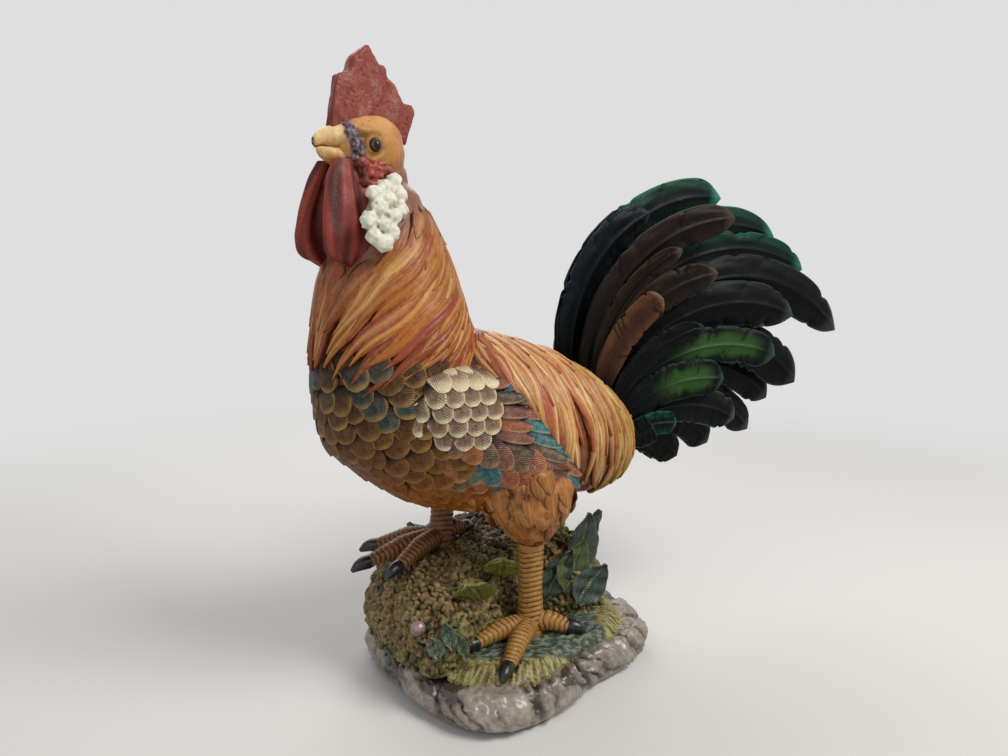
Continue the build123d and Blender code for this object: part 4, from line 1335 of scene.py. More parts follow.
# %% Head
blobs = [
    ((0, 0, 0), (12.2, 16.3, 14.4), UNTURNED), ((0, -8, 0.5), (7.4, 7.5, 9.5), UNTURNED),
    ((0, 3, 4.5), (10.6, 12.5, 10.3), UNTURNED), ((0, -6, -13), (7, 8, 9), UNTURNED),
    ((0, 7.5, -10.5), (9.8, 10.2, 11.5), UNTURNED), ((0, -13.5, -13.5), (5.2, 6.5, 8.0), UNTURNED),
]
for side in (+1, -1):
    blobs.append(((side * 9.4, -5.0, 6.4), (2.7, 6.8, 2.0), (0, side * 25, side * 6)))
    blobs.append(((side * 8.6, -4.0, -12.5), (4.8, 7.6, 8.6), UNTURNED))
    for turn in np.arange(0, 360, 24):
        a = math.radians(turn)
        lid = (side * 11.0, EYE[1] + 3.3 * math.cos(a), EYE[2] + 2.8 * math.sin(a))
        blobs.append((lid, (1.3, 1.0, 1.0), UNTURNED))
    for _ in range(46):
        y = dice.uniform(-11, 4)
        z = dice.uniform(-20, -5.5)
        spread = max(0.05, 1 - ((y + 4) / 9.0) ** 2 * 0.7 - ((z + 12.5) / 10.5) ** 2 * 0.7)
        size = dice.uniform(1.2, 2.1)
        wart = (side * (8.2 + 5.2 * math.sqrt(spread)), y, z)
        blobs.append((wart, (size, size * 1.1, size), UNTURNED))
for turn in CERE_TURNS:
    size = dice.uniform(0.9, 1.7)
    offset = dice.uniform(-0.8, 0.8, 3)
    blobs.append((cere_line(turn) + offset, (size, size * 1.1, size * 1.3), tuple(dice.uniform(-40, 40, 3))))
points, faces, normals = fused_blobs(blobs, 0.5, 3)
rough = speckle(points, 1.4)
across_eye = np.abs(points[:, 0]) - EYE[0]
eye_gap = np.sqrt(across_eye ** 2 + (points[:, 1] - EYE[1]) ** 2 + (points[:, 2] - EYE[2]) ** 2)
cere_gap = np.min([np.linalg.norm(points - cere_line(turn), axis=1) for turn in CERE_TURNS], axis=0)
# Parts of the head that face upwards are painted lighter: a painted highlight from above.
paint = mix(ink("b8803f"), ink("d09a62"), ramp(normals[:, 2], 0.2, 0.9))
paint = mix(paint, ink("a86a44"), ramp(points[:, 1], 3, 13))
paint = mix(paint, ink("7c5044"), ramp(points[:, 1], 1, 11) * ramp(-points[:, 2], -2, 9))
paint = mix(paint, ink("664a1c"), 0.9 * np.exp(-(eye_gap / 6.0) ** 2))
paint = mix(paint, ink("c79a58"), 0.9 * np.exp(-((eye_gap - 4.4) / 0.8) ** 2) * (points[:, 2] < EYE[2] - 1.5))
warty = ramp(-points[:, 2] - 0.12 * points[:, 1], 4.6, 6.0) * (1 - ramp(points[:, 1], 3, 6))
paint = mix(paint, ink("963a2e"), warty)
paint = mix(paint, ink("b0563f"), warty * ramp(rough, 0.1, 0.5))
cere = 1 - ramp(cere_gap, 2.3, 3.2)
paint = mix(paint, mix(ink("54464e"), ink("8c7d86"), ramp(rough, -0.2, 0.5)), cere)
throat = np.maximum(ramp(-points[:, 2], 16, 19), ramp(-points[:, 2], 5, 8) * ramp(-points[:, 1], 9, 11))
paint = mix(paint, ink("6d2a22"), throat)
rugged = np.maximum(warty, cere)
depth = np.clip(rugged * (0.45 - 0.9 * rough), 0, 1) + 0.8 * np.exp(-(eye_gap / 3.4) ** 6)
head = Casting()
head.add(from_head(points + normals * (0.35 * rough * rugged)[:, None]), faces, paint, depth_relief(depth))
head.piece("head_sculpt", "face_paint", face_paint, "head")

# %% Eyes
EYE_ROWS = 34
EYE_COLUMNS = 32
for side, name in SIDES:
    bands = np.radians(np.linspace(0, 172, EYE_ROWS))[:, None]
    turn = np.linspace(0, 2 * math.pi, EYE_COLUMNS, endpoint=False)[None, :]
    bulge = 2.75 + 0.2 * np.exp(-(bands / 0.5) ** 2)
    ball = np.stack([side * bulge * np.cos(bands) + 0 * turn, bulge * np.sin(bands) * np.cos(turn),
                     bulge * np.sin(bands) * np.sin(turn)], axis=-1)
    paint = mix(ink("060504"), ink("5e3012"), ramp(bands, 0.66, 0.74) + 0 * turn)
    paint = mix(paint, ink("140904"), ramp(bands, 0.9, 1.05) + 0 * turn)
    faces = grid_faces(EYE_ROWS, EYE_COLUMNS, closed=True)
    faces.append(tuple(range((EYE_ROWS - 1) * EYE_COLUMNS, EYE_ROWS * EYE_COLUMNS)))
    eye = Casting()
    eye.add(from_head(ball.reshape(-1, 3) + EYE * [side, 1, 1]), faces if side < 0 else flipped(faces), paint,
            depth_relief(np.zeros(EYE_ROWS * EYE_COLUMNS)))
    eye.piece(f"{name}_eye_ball", "eye_gloss", eye_gloss, f"{name}_eye")

# %% Beak
BEAK_ROWS = 44
BEAK_COLUMNS = 40
BEAK_ROOT_Y = -8.2


def horn(name, node, length, wide, top, bottom, under):
    """One half of the beak: sections from its root to its tip, with a keel on its outer side."""
    share = 1 - (1 - np.linspace(0, 1, BEAK_ROWS)) ** 1.5
    share = share[:, None]
    turn = np.linspace(0, 2 * math.pi, BEAK_COLUMNS, endpoint=False)[None, :]
    half_wide = wide * (1 - share ** 1.7) * (1 - 0.18 * share) + 0.25
    upper = np.interp(share, *zip(*top))
    lower = np.interp(share, *zip(*bottom))
    middle = (upper + lower) / 2
    half_high = np.maximum((upper - lower) / 2, 0.2)
    keel = 1 - 0.18 * np.clip(np.sin(turn) * (-1 if under else 1), 0, 1)
    local = np.stack([
        half_wide * np.cos(turn) * keel,
        BEAK_ROOT_Y - length * share + 0 * turn,
        middle + half_high * np.sin(turn),
    ], axis=-1)
    flat = local.reshape(-1, 3)
    # Each section is painted cream on top and darker tan below, and the lower beak darker overall: a painted
    # highlight on top and painted shade underneath.
    low = np.clip(0.55 - 0.55 * np.sin(turn) + 0.25 * under, 0, 1)
    paint = mix(ink("e6c995"), ink("b27c3c"), low + 0 * share)
    paint = mix(paint, ink("a06f38"), 0.7 * (1 - ramp(share, 0.12, 0.45)) + 0 * turn)
    paint = mix(paint, ink("46260f"), (1 - under) * ramp(share, 0.93, 0.99) + 0 * turn)
    mouth = ramp(-np.sin(turn) * (-1 if under else 1), 0.55, 0.9)
    slit = np.exp(-((share - 0.3) / 0.09) ** 2 - ((np.sin(turn) - 0.25) / 0.12) ** 2) * (1 - under)
    ripple = 0.12 * speckle(flat, 2.2).reshape(local.shape[:2])
    outward = np.stack([np.cos(turn) + 0 * share, 0 * turn * share, np.sin(turn) + 0 * share], axis=-1)
    local = local + outward * (ripple - 0.5 * slit)[..., None]
    depth = np.clip(0.9 * mouth + 0 * share + slit, 0, 1)
    beak = Casting()
    beak.add(from_head(local.reshape(-1, 3)), tube_faces(BEAK_ROWS, BEAK_COLUMNS), paint,
             depth_relief(depth.ravel()))
    beak.piece(name, "horn_paint", horn_paint, node)


horn("upper_beak_horn", "upper_beak", 17.2, 6.9, [(0, 10.4), (0.35, 9.6), (0.7, 7.2), (0.9, 5.0), (1, 2.7)],
     [(0, -1.6), (0.5, -0.8), (0.8, -0.2), (0.93, -0.8), (1, 0.4)], 0)
horn("lower_beak_horn", "lower_beak", 15.4, 6.4, [(0, 0.6), (0.5, 0.9), (1, 0.6)],
     [(0, -9.5), (0.4, -7.6), (0.75, -5.4), (0.92, -3.8), (1, -2.2)], 1)

# %% [markdown]
# ## Comb, wattles and ear lobes
# The comb is a thick blade with pitted sides and a smooth front edge. Its solid has the right outline, so a
# fine copy of it is pitted along its normals. The wattles hang in deep upright folds, which waves in a swept
# ring give more evenly than sculpting would. The ear lobes are clusters of pale, angular nubs, so their blobs
# are coarse and hardly smoothed.

# %% Comb
points, faces, normals = rounded_copy(["comb"], 0.55, 26)
local = to_head(points)
local[:, 0] *= 0.62 + 0.38 * ramp(local[:, 1], -15, -4)
local[:, 2] -= 3.2 * ramp(17 - local[:, 2], 0, 5) * ramp(-local[:, 1], 3, 8)
points = from_head(local)
pits = speckle(points, 0.8, 3)
grit = speckle(points + 50, 0.7, 2)
waves = speckle(points * [1, 1, 0.6], 5.0, 2)
flat = ramp(np.abs(normals @ HEAD_SPIN)[:, 0], 0.5, 0.9)
front = ramp(-local[:, 1] - 0.12 * local[:, 2], 10.5, 13.5)
grainy = flat * (1 - front)
paint = mix(ink("84362a"), ink("6c231b"), front)
paint = mix(paint, ink("854236"), flat * 0.5)
# The grey-pink on the raised grain of the sides is a painted highlight.
paint = mix(paint, ink("9a6a5e"), grainy * ramp(waves + 0.25 * pits, 0.0, 0.6) * 0.45)
comb = Casting()
comb.add(points + normals * (grainy * (0.28 * pits + 0.12 * grit) + 0.55 * waves)[:, None], faces, paint,
         depth_relief(grainy * ramp(-pits, 0.0, 0.6) * 0.85 + 0.35 * ramp(14 - local[:, 2], 0, 3)))
comb.piece("comb_blade", "red_paint", red_paint, "comb")

# %% Wattles
WATTLE_ROWS = 64
WATTLE_COLUMNS = 96
# Share of the way down, then width, thickness and distance from the middle
WATTLE_PROFILE = [
    (0, 0.42, 0.62, 0.72), (0.16, 0.72, 0.85, 0.9), (0.45, 0.98, 1.05, 1.15), (0.72, 1.1, 1.1, 1.35),
    (0.88, 1.04, 1.0, 1.35), (0.95, 0.86, 0.8, 1.3), (0.985, 0.56, 0.5, 1.28), (1, 0.14, 0.16, 1.25),
]


def make_wattle(side, name):
    """A flap that hangs in upright folds and flares at its rear edge."""
    down = 1 - (1 - np.linspace(0, 1, WATTLE_ROWS)) ** 1.3
    downs, *columns = zip(*WATTLE_PROFILE)
    wide, thick, out = [eased(np.interp(down, downs, column), 8)[:, None] for column in columns]
    down = down[:, None]
    turn = np.linspace(0, 2 * math.pi, WATTLE_COLUMNS, endpoint=False)[None, :]
    course = np.cos(turn) + 0.1 * np.sin(down * 5 + side)
    course = course + 0.1 * np.sin(3.3 * down + 2 * np.sin(2 * turn + side))
    fold = 0.6 * np.cos(course * 7.6 + 0.8 * np.sin(down * 4) + side) + 0.4 * np.cos(course * 15 + 3 * down)
    swell = 1 + 0.16 * fold * ramp(down, 0.05, 0.25)
    local = np.stack([
        side * (7.4 * out + 5.6 * ramp(np.cos(turn), -0.2, 1.0) * ramp(down, 0.05, 0.5))
        + 4.2 * thick * np.sin(turn) * swell,
        -15.0 - 0.8 * down + 11.4 * wide * np.cos(turn),
        -4.6 - 40 * down + 1.0 * np.sin(course * 5) * ramp(down, 0.5, 1.0),
    ], axis=-1)
    # Darker in the fold hollows and lighter on the crests: painted shade in the folds.
    share = ramp(fold, -0.9, 0.8)
    paint = mix(ink("4e1711"), ink("883124"), share)
    # The coral strip along the rear edge is painted light. The wash is weaker there, so the front stays in
    # painted shade.
    rear = ramp(np.cos(turn), 0.55, 0.85) + 0 * down
    paint = mix(paint, ink("b2523a"), rear * 0.85 * (0.5 + 0.5 * share))
    depth = np.clip(0.55 * (1 - share) * (1 - 0.7 * rear), 0, 1)
    wattle = Casting()
    wattle.add(from_head(local.reshape(-1, 3)), flipped(tube_faces(WATTLE_ROWS, WATTLE_COLUMNS)), paint,
               depth_relief(depth.ravel()))
    wattle.piece(f"{name}_wattle_folds", "red_paint", red_paint, f"{name}_wattle")


# %% Wattles and ear lobes on both sides
# Rows of nubs on a lobe: height, and places across it
LOBE_ROWS = [(v, np.array(spread)) for v, spread in (
    (-0.84, (-0.25, 0.3)), (-0.48, (-0.62, 0.0, 0.6)), (-0.12, (-0.4, 0.35)), (0.24, (-0.66, -0.02, 0.62)),
    (0.58, (-0.36, 0.34)), (0.88, (0.02,)),
)]


def make_ear_lobe(side, name):
    """A leaning cluster of angular nubs round a core."""
    middle = np.array([side * 18.6, -7.2, -25.0])
    lean = Euler((math.radians(-30), math.radians(-side * 20), 0))
    tilt = lean.to_matrix()
    blobs = [(middle, (5.0, 8.2, 15.4), np.degrees(lean))]
    for v, spread in LOBE_ROWS:
        for u in spread + dice.uniform(-0.07, 0.07, len(spread)):
            bulge = math.sqrt(max(0.15, 1 - u * u - v * v))
            offset = Vector((side * 3.4 * bulge, 8.6 * u, 15.6 * v + dice.uniform(-1, 1)))
            sizes = dice.uniform((3.2, 3.6, 3.4), (4.2, 4.6, 4.6))
            blobs.append((middle + np.array(tilt @ offset), sizes, tuple(dice.uniform(-60, 60, 3))))
    points, faces, normals = fused_blobs(blobs, 0.5, 2, 1)
    lumps = speckle(points, 2.6)
    chips = speckle(points + 20, 1.1, 2)
    core = (points - middle) @ np.array(tilt)
    radial = (core[:, 0] / 5.6) ** 2 + (core[:, 1] / 10.6) ** 2 + (core[:, 2] / 17.6) ** 2
    depth = np.clip(0.8 * ramp(0.95 - radial, 0.0, 0.4) + 0.4 * ramp(-lumps, 0.1, 0.5), 0, 1)
    # Paler on the nubs, and grey-green between them and on the undersides: painted shade.
    paint = mix(ink("dcdac9"), ink("c4bfa6"), 0.8 * depth)
    paint = mix(paint, ink("b4b8a2"), 0.5 * ramp(-normals[:, 2], 0.1, 0.8))
    lobe = Casting()
    lobe.add(from_head(points + normals * (0.4 * lumps + 0.15 * chips)[:, None]), faces, paint,
             depth_relief(depth))
    lobe.piece(f"{name}_earlobe_nubs", "lobe_paint", lobe_paint, f"{name}_earlobe")


for side, name in SIDES:
    make_wattle(side, name)
    make_ear_lobe(side, name)

# %% [markdown]
# ## Base
# The bird stands on a rock with a rim of grey lobes, a patch of turf and a mound of nodular moss, which rises
# to a hump behind the right foot. Each is a finely remeshed copy of its solid, pushed out along its normals:
# round nodules at scattered places for the moss, short strokes for the turf, slanting ridges for the rock. A
# displacement texture could do it too, but here the paint has to know where each nodule and ridge lies.

# %% Nodules


def nodules(points, spacing, sizes):
    """Heights of round bumps at scattered places, how far each point is from the top of its bump, and which
    bump that is."""
    seeds = scattered(points, spacing, np.ones(len(points), bool))
    tree = KDTree(len(seeds))
    for order, index in enumerate(seeds):
        tree.insert(points[index], order)
    tree.balance()
    radius = dice.uniform(*sizes, len(seeds))
    found = [tree.find(point) for point in points]
    order = np.array([item[1] for item in found])
    gap = np.array([item[2] for item in found]) / radius[order]
    return radius[order] * np.sqrt(np.clip(1 - gap ** 2, 0, 1)), np.clip(gap, 0, 1.4), order


# %% Moss
HUMP_PLACE = (-36.0, -1.0)
HUMP_SPREAD = 12.0
HUMP_HEIGHT = 4.6
points, faces, normals = rounded_copy(["moss_mound"], 0.6, 6)
warped = points + 1.1 * np.stack([speckle(points + shift, 2.2, 2) for shift in (0, 40, 80)], axis=1)
height, gap, order = nodules(warped, 2.1, (1.3, 1.9))
clumps = speckle(points, 7.0, 3)
swells = speckle(points, 16.0, 2)
tone = dice.uniform(0, 1, order.max() + 1)[order]
paint = mix(ink("554522"), ink("866f40"), tone)
paint = mix(paint, ink("54552a"), 0.7 * ramp(swells, 0.0, 0.35))
paint = mix(paint, ink("4d361b"), 0.7 * ramp(-swells, 0.05, 0.4))
paint = mix(paint, ink("40482b"), 0.6 * ramp(-clumps, 0.15, 0.5))
hollow = np.clip(0.85 * ramp(gap, 0.55, 1.15) + 0.45 * ramp(-clumps, 0.1, 0.6), 0, 1)
moss = Casting()
rise = 1.05 * height + 1.5 * clumps + 0.8 * swells - 1.4
rise = rise * ramp(points[:, 2], 14.5, 17.5)
hump_gap = (((points[:, :2] - HUMP_PLACE) / HUMP_SPREAD) ** 2).sum(axis=1)
hump = HUMP_HEIGHT * np.exp(-hump_gap) * ramp(normals[:, 2], 0.2, 0.7)
moss.add(points + normals * rise[:, None] + np.outer(hump, [0, 0, 1]), faces, paint, depth_relief(hollow))
moss.piece("moss_nodules", "moss_paint", moss_paint, "moss_mound")

# %% Turf
BASE_MIDDLE = np.array([5, -1])
BASE_HALVES = np.array([60, 64])


def round_base(points):
    """Where points lie on the base: a turn about its middle, and a share of the way to its edge."""
    x, y = ((points[:, :2] - BASE_MIDDLE) / BASE_HALVES).T
    return np.arctan2(y, x), np.hypot(x, y)


points, faces, normals = rounded_copy(["turf"], 0.7, 4)
angle, reach = round_base(points)
strokes = speckle(np.stack([angle * 46, reach * 14, 0 * reach], axis=1), 1.1, 3)
hairs = speckle(points * [1.0, 0.35, 0.35] @ HEAD_SPIN, 0.9, 2)
patch = ramp(0.72 - reach + 0.2 * speckle(points, 14.0, 2), -0.03, 0.05)
relief = strokes * (1 - patch) + hairs * patch
paint = mix(ink("655e36"), ink("9a8f5e"), ramp(strokes, -0.3, 0.3))
paint = mix(paint, mix(ink("36443e"), ink("68766a"), ramp(hairs, -0.2, 0.5)), patch)
sectors = np.round(angle * 14).astype(int)
outer = {sector: reach[sectors == sector].max() for sector in np.unique(sectors)}
border = ramp(reach / np.array([outer[sector] for sector in sectors]), 0.84, 1.0)
top_side = ramp(normals[:, 2], -0.2, 0.4)
dropped = np.outer(2.0 * border * top_side, [0, 0, 1])
turf = Casting()
turf.add(points + normals * (0.8 * relief * top_side)[:, None] - dropped, faces, paint,
         depth_relief(ramp(-relief, -0.05, 0.5)))
turf.piece("turf_strokes", "turf_paint", turf_paint, "turf")

# %% Rock
STONE_NOTCHES = (-0.95, -0.30, 0.18, 1.0, 1.9, 2.7, -2.9, -2.1, -1.5)
NOTCH_WIDTH = 0.03
STONE_RADIUS = 62
points, faces, normals = rounded_copy(["stone_slab"], 0.85, 6)
angle, _ = round_base(points)
wander = speckle(np.stack([angle * STONE_RADIUS, 0 * angle, 0 * angle], axis=1), 40.0, 2)
slant = 0.35 * (points[:, 2] - 8) / STONE_RADIUS * (1 + 1.2 * wander)
off_notch = [np.angle(np.exp(1j * (angle + slant - at))) for at in STONE_NOTCHES]
notch = np.max([np.exp(-(off / NOTCH_WIDTH) ** 2) for off in off_notch], axis=0)
course = (angle + 2.6 * slant) * STONE_RADIUS
reach = np.hypot(*(points[:, :2] - BASE_MIDDLE).T)
flow = np.stack([course, 0.3 * reach, 0.34 * points[:, 2]], axis=1)
flow = flow + 3.4 * np.stack([speckle(points + shift, 13.0, 3) for shift in (0, 30, 60)], axis=1)
lobes, gap, order = nodules(flow, 11.5, (6.4, 9.5))
ridge = 1 - 2.6 * np.abs(speckle(flow + 20, 8.5, 2))
crease = 1 - 2.6 * np.abs(speckle(flow + 70, 4.0, 2))
chips = speckle(points, 2.6, 4)
lift = ramp(points[:, 2], 1.6, 4.5)
shape = 0.22 * lobes - 1.9 + 1.1 * ridge + 0.4 * crease + 0.4 * chips - 2.4 * notch
tone = dice.uniform(0, 1, order.max() + 1)[order]
paint = mix(ink("6a5e53"), ink("958a7f"), 0.6 * ramp(shape, -0.8, 1.0) + 0.4 * tone)
paint = mix(paint, ink("7d6c5a"), 0.5 * ramp(speckle(points, 18.0, 2), 0.0, 0.4))
hollow = np.maximum(ramp(gap, 0.72, 1.05), ramp(-shape, 0.3, 1.6))
stone = Casting()
stone.add(points + normals * (shape * lift)[:, None], faces, paint, depth_relief(hollow * lift))
stone.piece("stone_ridges", "stone_paint", stone_paint, "stone_slab")

# %% [markdown]
# ## Leaves, blades and bead
# A few glossy leaves and blades grow out of the mound, and one pink bead sits in it. A leaf could be a plane
# with a picture on it, but these are thick castings. Each is rebuilt on the long and broad directions of its
# solid, as a pointed, cupped blade with a midrib.

# %% Places of the leaves


def loose_parts(node):
    """The points of each separate solid in a node, in millimetres."""
    copy = bmesh.new()
    copy.from_mesh(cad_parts[node].data)
    bmesh.ops.remove_doubles(copy, verts=copy.verts, dist=1e-6)
    seen = set()
    parts = []
    for first in copy.verts:
        edge = [] if first in seen else [first]
        seen.add(first)
        part = []
        while edge:
            vert = edge.pop()
            part.append(tuple(vert.co / MM))
            near = [link.other_vert(vert) for link in vert.link_edges]
            fresh = [other for other in near if other not in seen]
            seen.update(fresh)
            edge += fresh
        if part:
            parts.append(np.array(part))
    copy.free()
    return parts


# %% One leaf
SHOWN_TO = unit(np.array([0.78, -0.42, 0.46]))
MOUND_AXIS = (-18.5, -8)
LEAF_ROWS = 34
LEAF_COLUMNS = 13


def leaf_on(casting, part, tint, vein, swell, facing, proud=0.0):
    """A pointed blade on a solid's long and broad directions, turned about its length to show its face, and
    standing a little proud of the moss."""
    middle = (part.max(axis=0) + part.min(axis=0)) / 2
    _, _, axes = np.linalg.svd(part - part.mean(axis=0), full_matrices=False)
    long = axes[0] * (1 if axes[0][2] > 0 else -1)
    broad = axes[1]
    out = np.cross(long, broad)
    away = middle - [*MOUND_AXIS, middle[2]]
    if out @ away < 0:
        broad = -broad
        out = -out
    local = (part - middle) @ np.stack([long, broad, out], axis=1)
    half_long, half_broad = np.abs(local).max(axis=0)[:2] * [1.1, swell]
    if out @ SHOWN_TO > -0.5:
        out = out + facing * SHOWN_TO
        out = unit(out - long * (out @ long))
        broad = np.cross(out, long)
    share = np.linspace(0, 1, LEAF_ROWS)[:, None]
    a = np.concatenate([np.linspace(-1, 1, LEAF_COLUMNS), np.linspace(1, -1, LEAF_COLUMNS)[1:-1]])[None, :]
    face = np.concatenate([np.ones(LEAF_COLUMNS), -np.ones(LEAF_COLUMNS - 2)])[None, :]
    outline = half_broad * np.sin(math.pi * np.clip(share, 0.02, 0.98) ** 0.8) ** 0.8
    cup = 1.3 * a ** 2 - 0.9 * np.exp(-(a / 0.12) ** 2) - 1.6 * np.sin(math.pi * share)
    cup = cup + 0.35 * np.sin(share * 20 + 3 * a)
    height = cup + 0.7 * face * np.sqrt(np.clip(1 - a ** 6, 0, 1))
    spot = middle + (half_long * (2 * share - 1))[..., None] * long + (outline * a)[..., None] * broad
    spot = spot + (height + proud)[..., None] * out
    paint = mix(tint, vein, 0.8 * np.exp(-(a / 0.1) ** 2) + 0 * share)
    paint = mix(paint, tint * 1.6, 0.6 * ramp(np.abs(a), 0.75, 1.0) + 0 * share)
    beside_rib = 0.8 * np.exp(-((np.abs(a) - 0.2) / 0.1) ** 2)
    relief = np.stack([share * 2 * half_long + 0 * a, outline * a, beside_rib + 0 * share], axis=-1)
    casting.add(spot, tube_faces(LEAF_ROWS, a.size), paint, relief)


# %% Leaves, blades and bead
LEAF_CODES = ("24352a", "4d5a30", "2f443f", "22342f", "8f883a", "6c702e", "2a3d30", "34482c", "2c3d31")
LEAF_TINTS = [ink(code) for code in LEAF_CODES]
leaves = Casting()
for tint, part in zip(LEAF_TINTS, loose_parts("mound_leaves")):
    leaf_on(leaves, part, tint, mix(tint, ink("a8b06a"), 0.4), 1.45, 1.6)
    print("leaf at", np.round(part.mean(axis=0), 1))
leaves.piece("leaf_blades", "leaf_paint", leaf_paint, "mound_leaves")
blades = Casting()
for part in loose_parts("sprout_blades"):
    leaf_on(blades, part, ink("566b58"), ink("b4c0a4"), 1.3, 0.8, 2.4)
blades.piece("sprout_leaflets", "leaf_paint", leaf_paint, "sprout_blades")

points, faces, normals = rounded_copy(["berry_bead"], 0.35, 3)
dents = speckle(points, 1.8)
# Lighter on top, and darker with wash underneath: a painted highlight and painted shade.
paint = mix(ink("6a5050"), ink("8f7372"), ramp(normals[:, 2] + 0.4 * dents, -0.4, 0.6))
berry = Casting()
berry.add(points + normals * (0.12 * dents)[:, None], faces, paint,
          depth_relief(ramp(-normals[:, 2], 0.2, 0.9)))
berry.piece("berry_ball", "bead_paint", bead_paint, "berry_bead")

# %% [markdown]
# ## Boss, felt and steel
# The tail's boss only shows as a dark root between the plumes, so a roughened copy of its solid is enough.
# The felt pad is under the base, and the steel rods and dowels are inside. These keep their solids, which
# have the right form already, and get a plain finish each: felt and drawn steel.

# %% Boss
points, faces, normals = rounded_copy(["tail_boss"], 0.9, 5)
fibres = speckle(points * [1, 0.4, 1], 2.0, 3)
boss = Casting()
boss.add(points + normals * (0.5 * fibres)[:, None], faces, ink("14100d"),
         depth_relief(ramp(-fibres, 0, 0.5)))
boss.piece("tail_root", "tail_paint", tail_paint, "tail_boss")

# %% Felt and steel


def plain_finish(name, dark, pale, scale, rough, metal, stretch):
    """A finish for a CAD solid: two tones in a noise that may be stretched upright."""
    material, tree, shader, place = new_material(name)
    course = wire(tree, "ShaderNodeMapping", Vector=place, Scale=stretch).outputs[0]
    fleck = blotches(tree, course, scale, 4.0, 0.7)
    tree.links.new(colour_mix(tree, fleck, (*ink(dark), 1), (*ink(pale), 1)), shader.inputs["Base Color"])
    bump = wire(tree, "ShaderNodeBump", Height=fleck, Strength=0.5, Distance=0.0004)
    tree.links.new(bump.outputs[0], shader.inputs["Normal"])
    shader.inputs["Roughness"].default_value = rough
    shader.inputs["Metallic"].default_value = metal
    return material


felt = plain_finish("felt", "1d3a28", "2f5a40", 900.0, 0.95, 0.0, (1, 1, 1))
steel = plain_finish("rod_steel", "6b6e72", "a3a6aa", 700.0, 0.35, 1.0, (1, 1, 0.04))
plain_pieces = {"felt_pad": felt}
for rod in ("left_leg_rod", "right_leg_rod", "neck_dowel", "tail_dowel"):
    plain_pieces[rod] = steel
for node, material in plain_pieces.items():
    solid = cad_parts[node]
    solid.data.materials.clear()
    solid.data.materials.append(material)
    print(node, "finished as", material.name)

# %% [markdown]
# ## Camera, light and floor
# The camera stands where the picture was taken from: a third of a metre off, a little above the middle,
# looking at the bird's left side and slightly down. A large soft key from the upper right, a fill, a lamp
# behind and a pale world give a plain studio light. Softer lamps would need less care, but then the feathers
# would lose the shade between them.

# %% Camera and studio
CAMERA_PLACE = (0.30079, -0.16277, 0.178)
CAMERA_TURN = 62.0
CAMERA_DIP = 8.0
FOCAL_SHARE = 757 / 1008
SENSOR_WIDTH = 36.0

camera = bpy.data.cameras.new("camera")
camera.sensor_width = SENSOR_WIDTH
camera.lens = SENSOR_WIDTH * FOCAL_SHARE
camera_object = bpy.data.objects.new("camera", camera)
camera_object.location = CAMERA_PLACE
camera_object.rotation_euler = (math.radians(90 - CAMERA_DIP), 0, math.radians(CAMERA_TURN))
bpy.context.scene.collection.objects.link(camera_object)
bpy.context.scene.camera = camera_object
print("lens", round(camera.lens, 2), "mm")

# %% Lamps
BIRD_MIDDLE = (0.0, 0.0, 0.13)


def area_lamp(name, place, size, watts, colour):
    """A square lamp that points at the middle of the bird."""
    lamp = bpy.data.lights.new(name, "AREA")
    lamp.size = size
    lamp.energy = watts
    lamp.color = colour
    obj = bpy.data.objects.new(name, lamp)
    obj.location = place
    obj.rotation_euler = (Vector(BIRD_MIDDLE) - Vector(place)).to_track_quat("-Z", "Y").to_euler()
    bpy.context.scene.collection.objects.link(obj)
    print(name, "lamp", watts, "W")


area_lamp("key", (0.54, 0.36, 0.80), size=0.45, watts=7.0, colour=(1.0, 0.97, 0.93))
area_lamp("fill", (0.55, -0.80, 0.45), size=0.9, watts=2.2, colour=(0.95, 0.97, 1.0))
area_lamp("back", (-0.6, 0.1, 0.6), size=0.7, watts=3.0, colour=(1.0, 1.0, 1.0))
bpy.context.scene.view_settings.view_transform = "Standard"

# %% [markdown]
# The floor takes the bird's shadow near it. Further off it fades into the plain backdrop, and only for what
# the camera sees, directly or in a reflection, so that the backdrop doesn't light the bird.

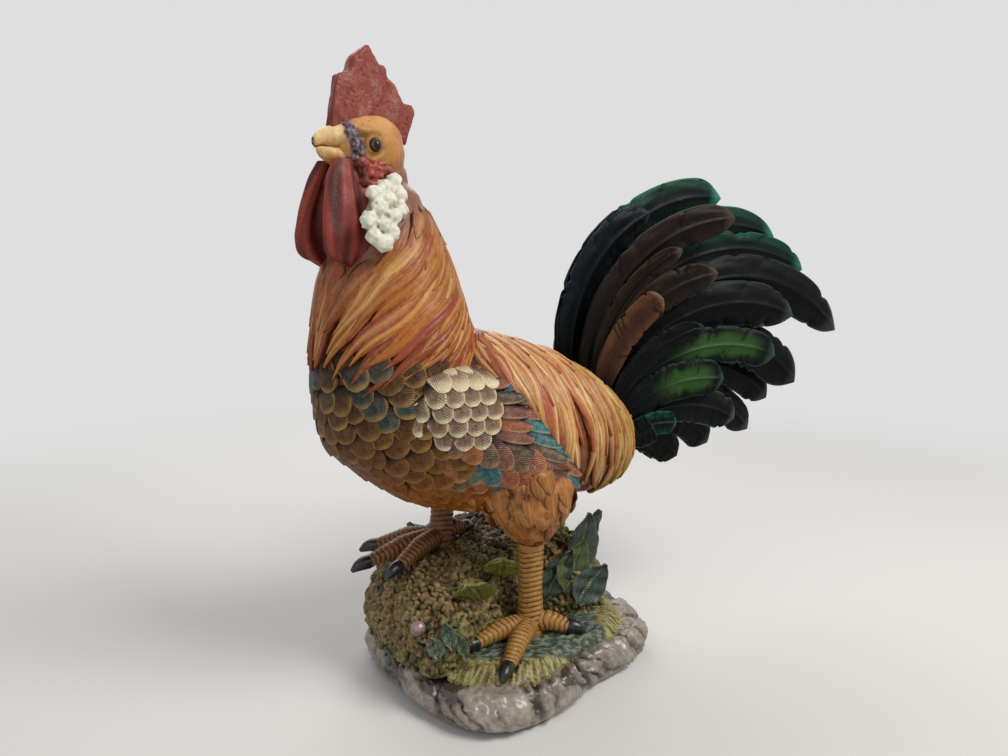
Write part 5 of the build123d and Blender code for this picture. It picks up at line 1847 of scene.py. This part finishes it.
# %% Floor and backdrop
BACKDROP = (0.74, 0.74, 0.74, 1)
FADE_NEAR = 0.28
FADE_FAR = 0.75
FLOOR_HALF = 4


def seen_by_camera(tree):
    """1 for what the camera sees directly, in a reflection or through glass."""
    rays = tree.nodes.new("ShaderNodeLightPath").outputs
    seen = maths(tree, "MAXIMUM", rays["Is Camera Ray"], rays["Is Glossy Ray"])
    return maths(tree, "MAXIMUM", seen, rays["Is Transmission Ray"])


world = bpy.data.worlds.new("studio")
world.use_nodes = True
sky = world.node_tree
sky.nodes["Background"].inputs["Color"].default_value = (0.78, 0.79, 0.81, 1)
sky.nodes["Background"].inputs["Strength"].default_value = 0.34
plain = wire(sky, "ShaderNodeBackground", Color=BACKDROP, Strength=1.0)
both = wire(sky, "ShaderNodeMixShader", i0=seen_by_camera(sky), i1=sky.nodes["Background"].outputs[0],
            i2=plain.outputs[0])
sky.links.new(both.outputs[0], sky.nodes["World Output"].inputs["Surface"])
bpy.context.scene.world = world

floor_mesh = bpy.data.meshes.new("floor")
corners = [(x * FLOOR_HALF, y * FLOOR_HALF, 0) for x, y in ((-1, -1), (1, -1), (1, 1), (-1, 1))]
floor_mesh.from_pydata(corners, [], [(0, 1, 2, 3)])
floor_material, ground, matt, place = new_material("floor")
matt.inputs["Base Color"].default_value = (0.72, 0.71, 0.69, 1)
matt.inputs["Roughness"].default_value = 0.8
distance = wire(ground, "ShaderNodeVectorMath", {"operation": "LENGTH"}, i0=place).outputs["Value"]
faded_out = mapped(ground, distance, FADE_NEAR, FADE_FAR, 0.0, 1.0)
fading = maths(ground, "MULTIPLY", faded_out, seen_by_camera(ground))
glow = wire(ground, "ShaderNodeEmission", Color=BACKDROP, Strength=1.0)
faded = wire(ground, "ShaderNodeMixShader", i0=fading, i1=matt.outputs[0], i2=glow.outputs[0])
ground.links.new(faded.outputs[0], ground.nodes["Material Output"].inputs["Surface"])
floor_mesh.materials.append(floor_material)
floor = bpy.data.objects.new("floor", floor_mesh)
bpy.context.scene.collection.objects.link(floor)
print("floor and backdrop ready")
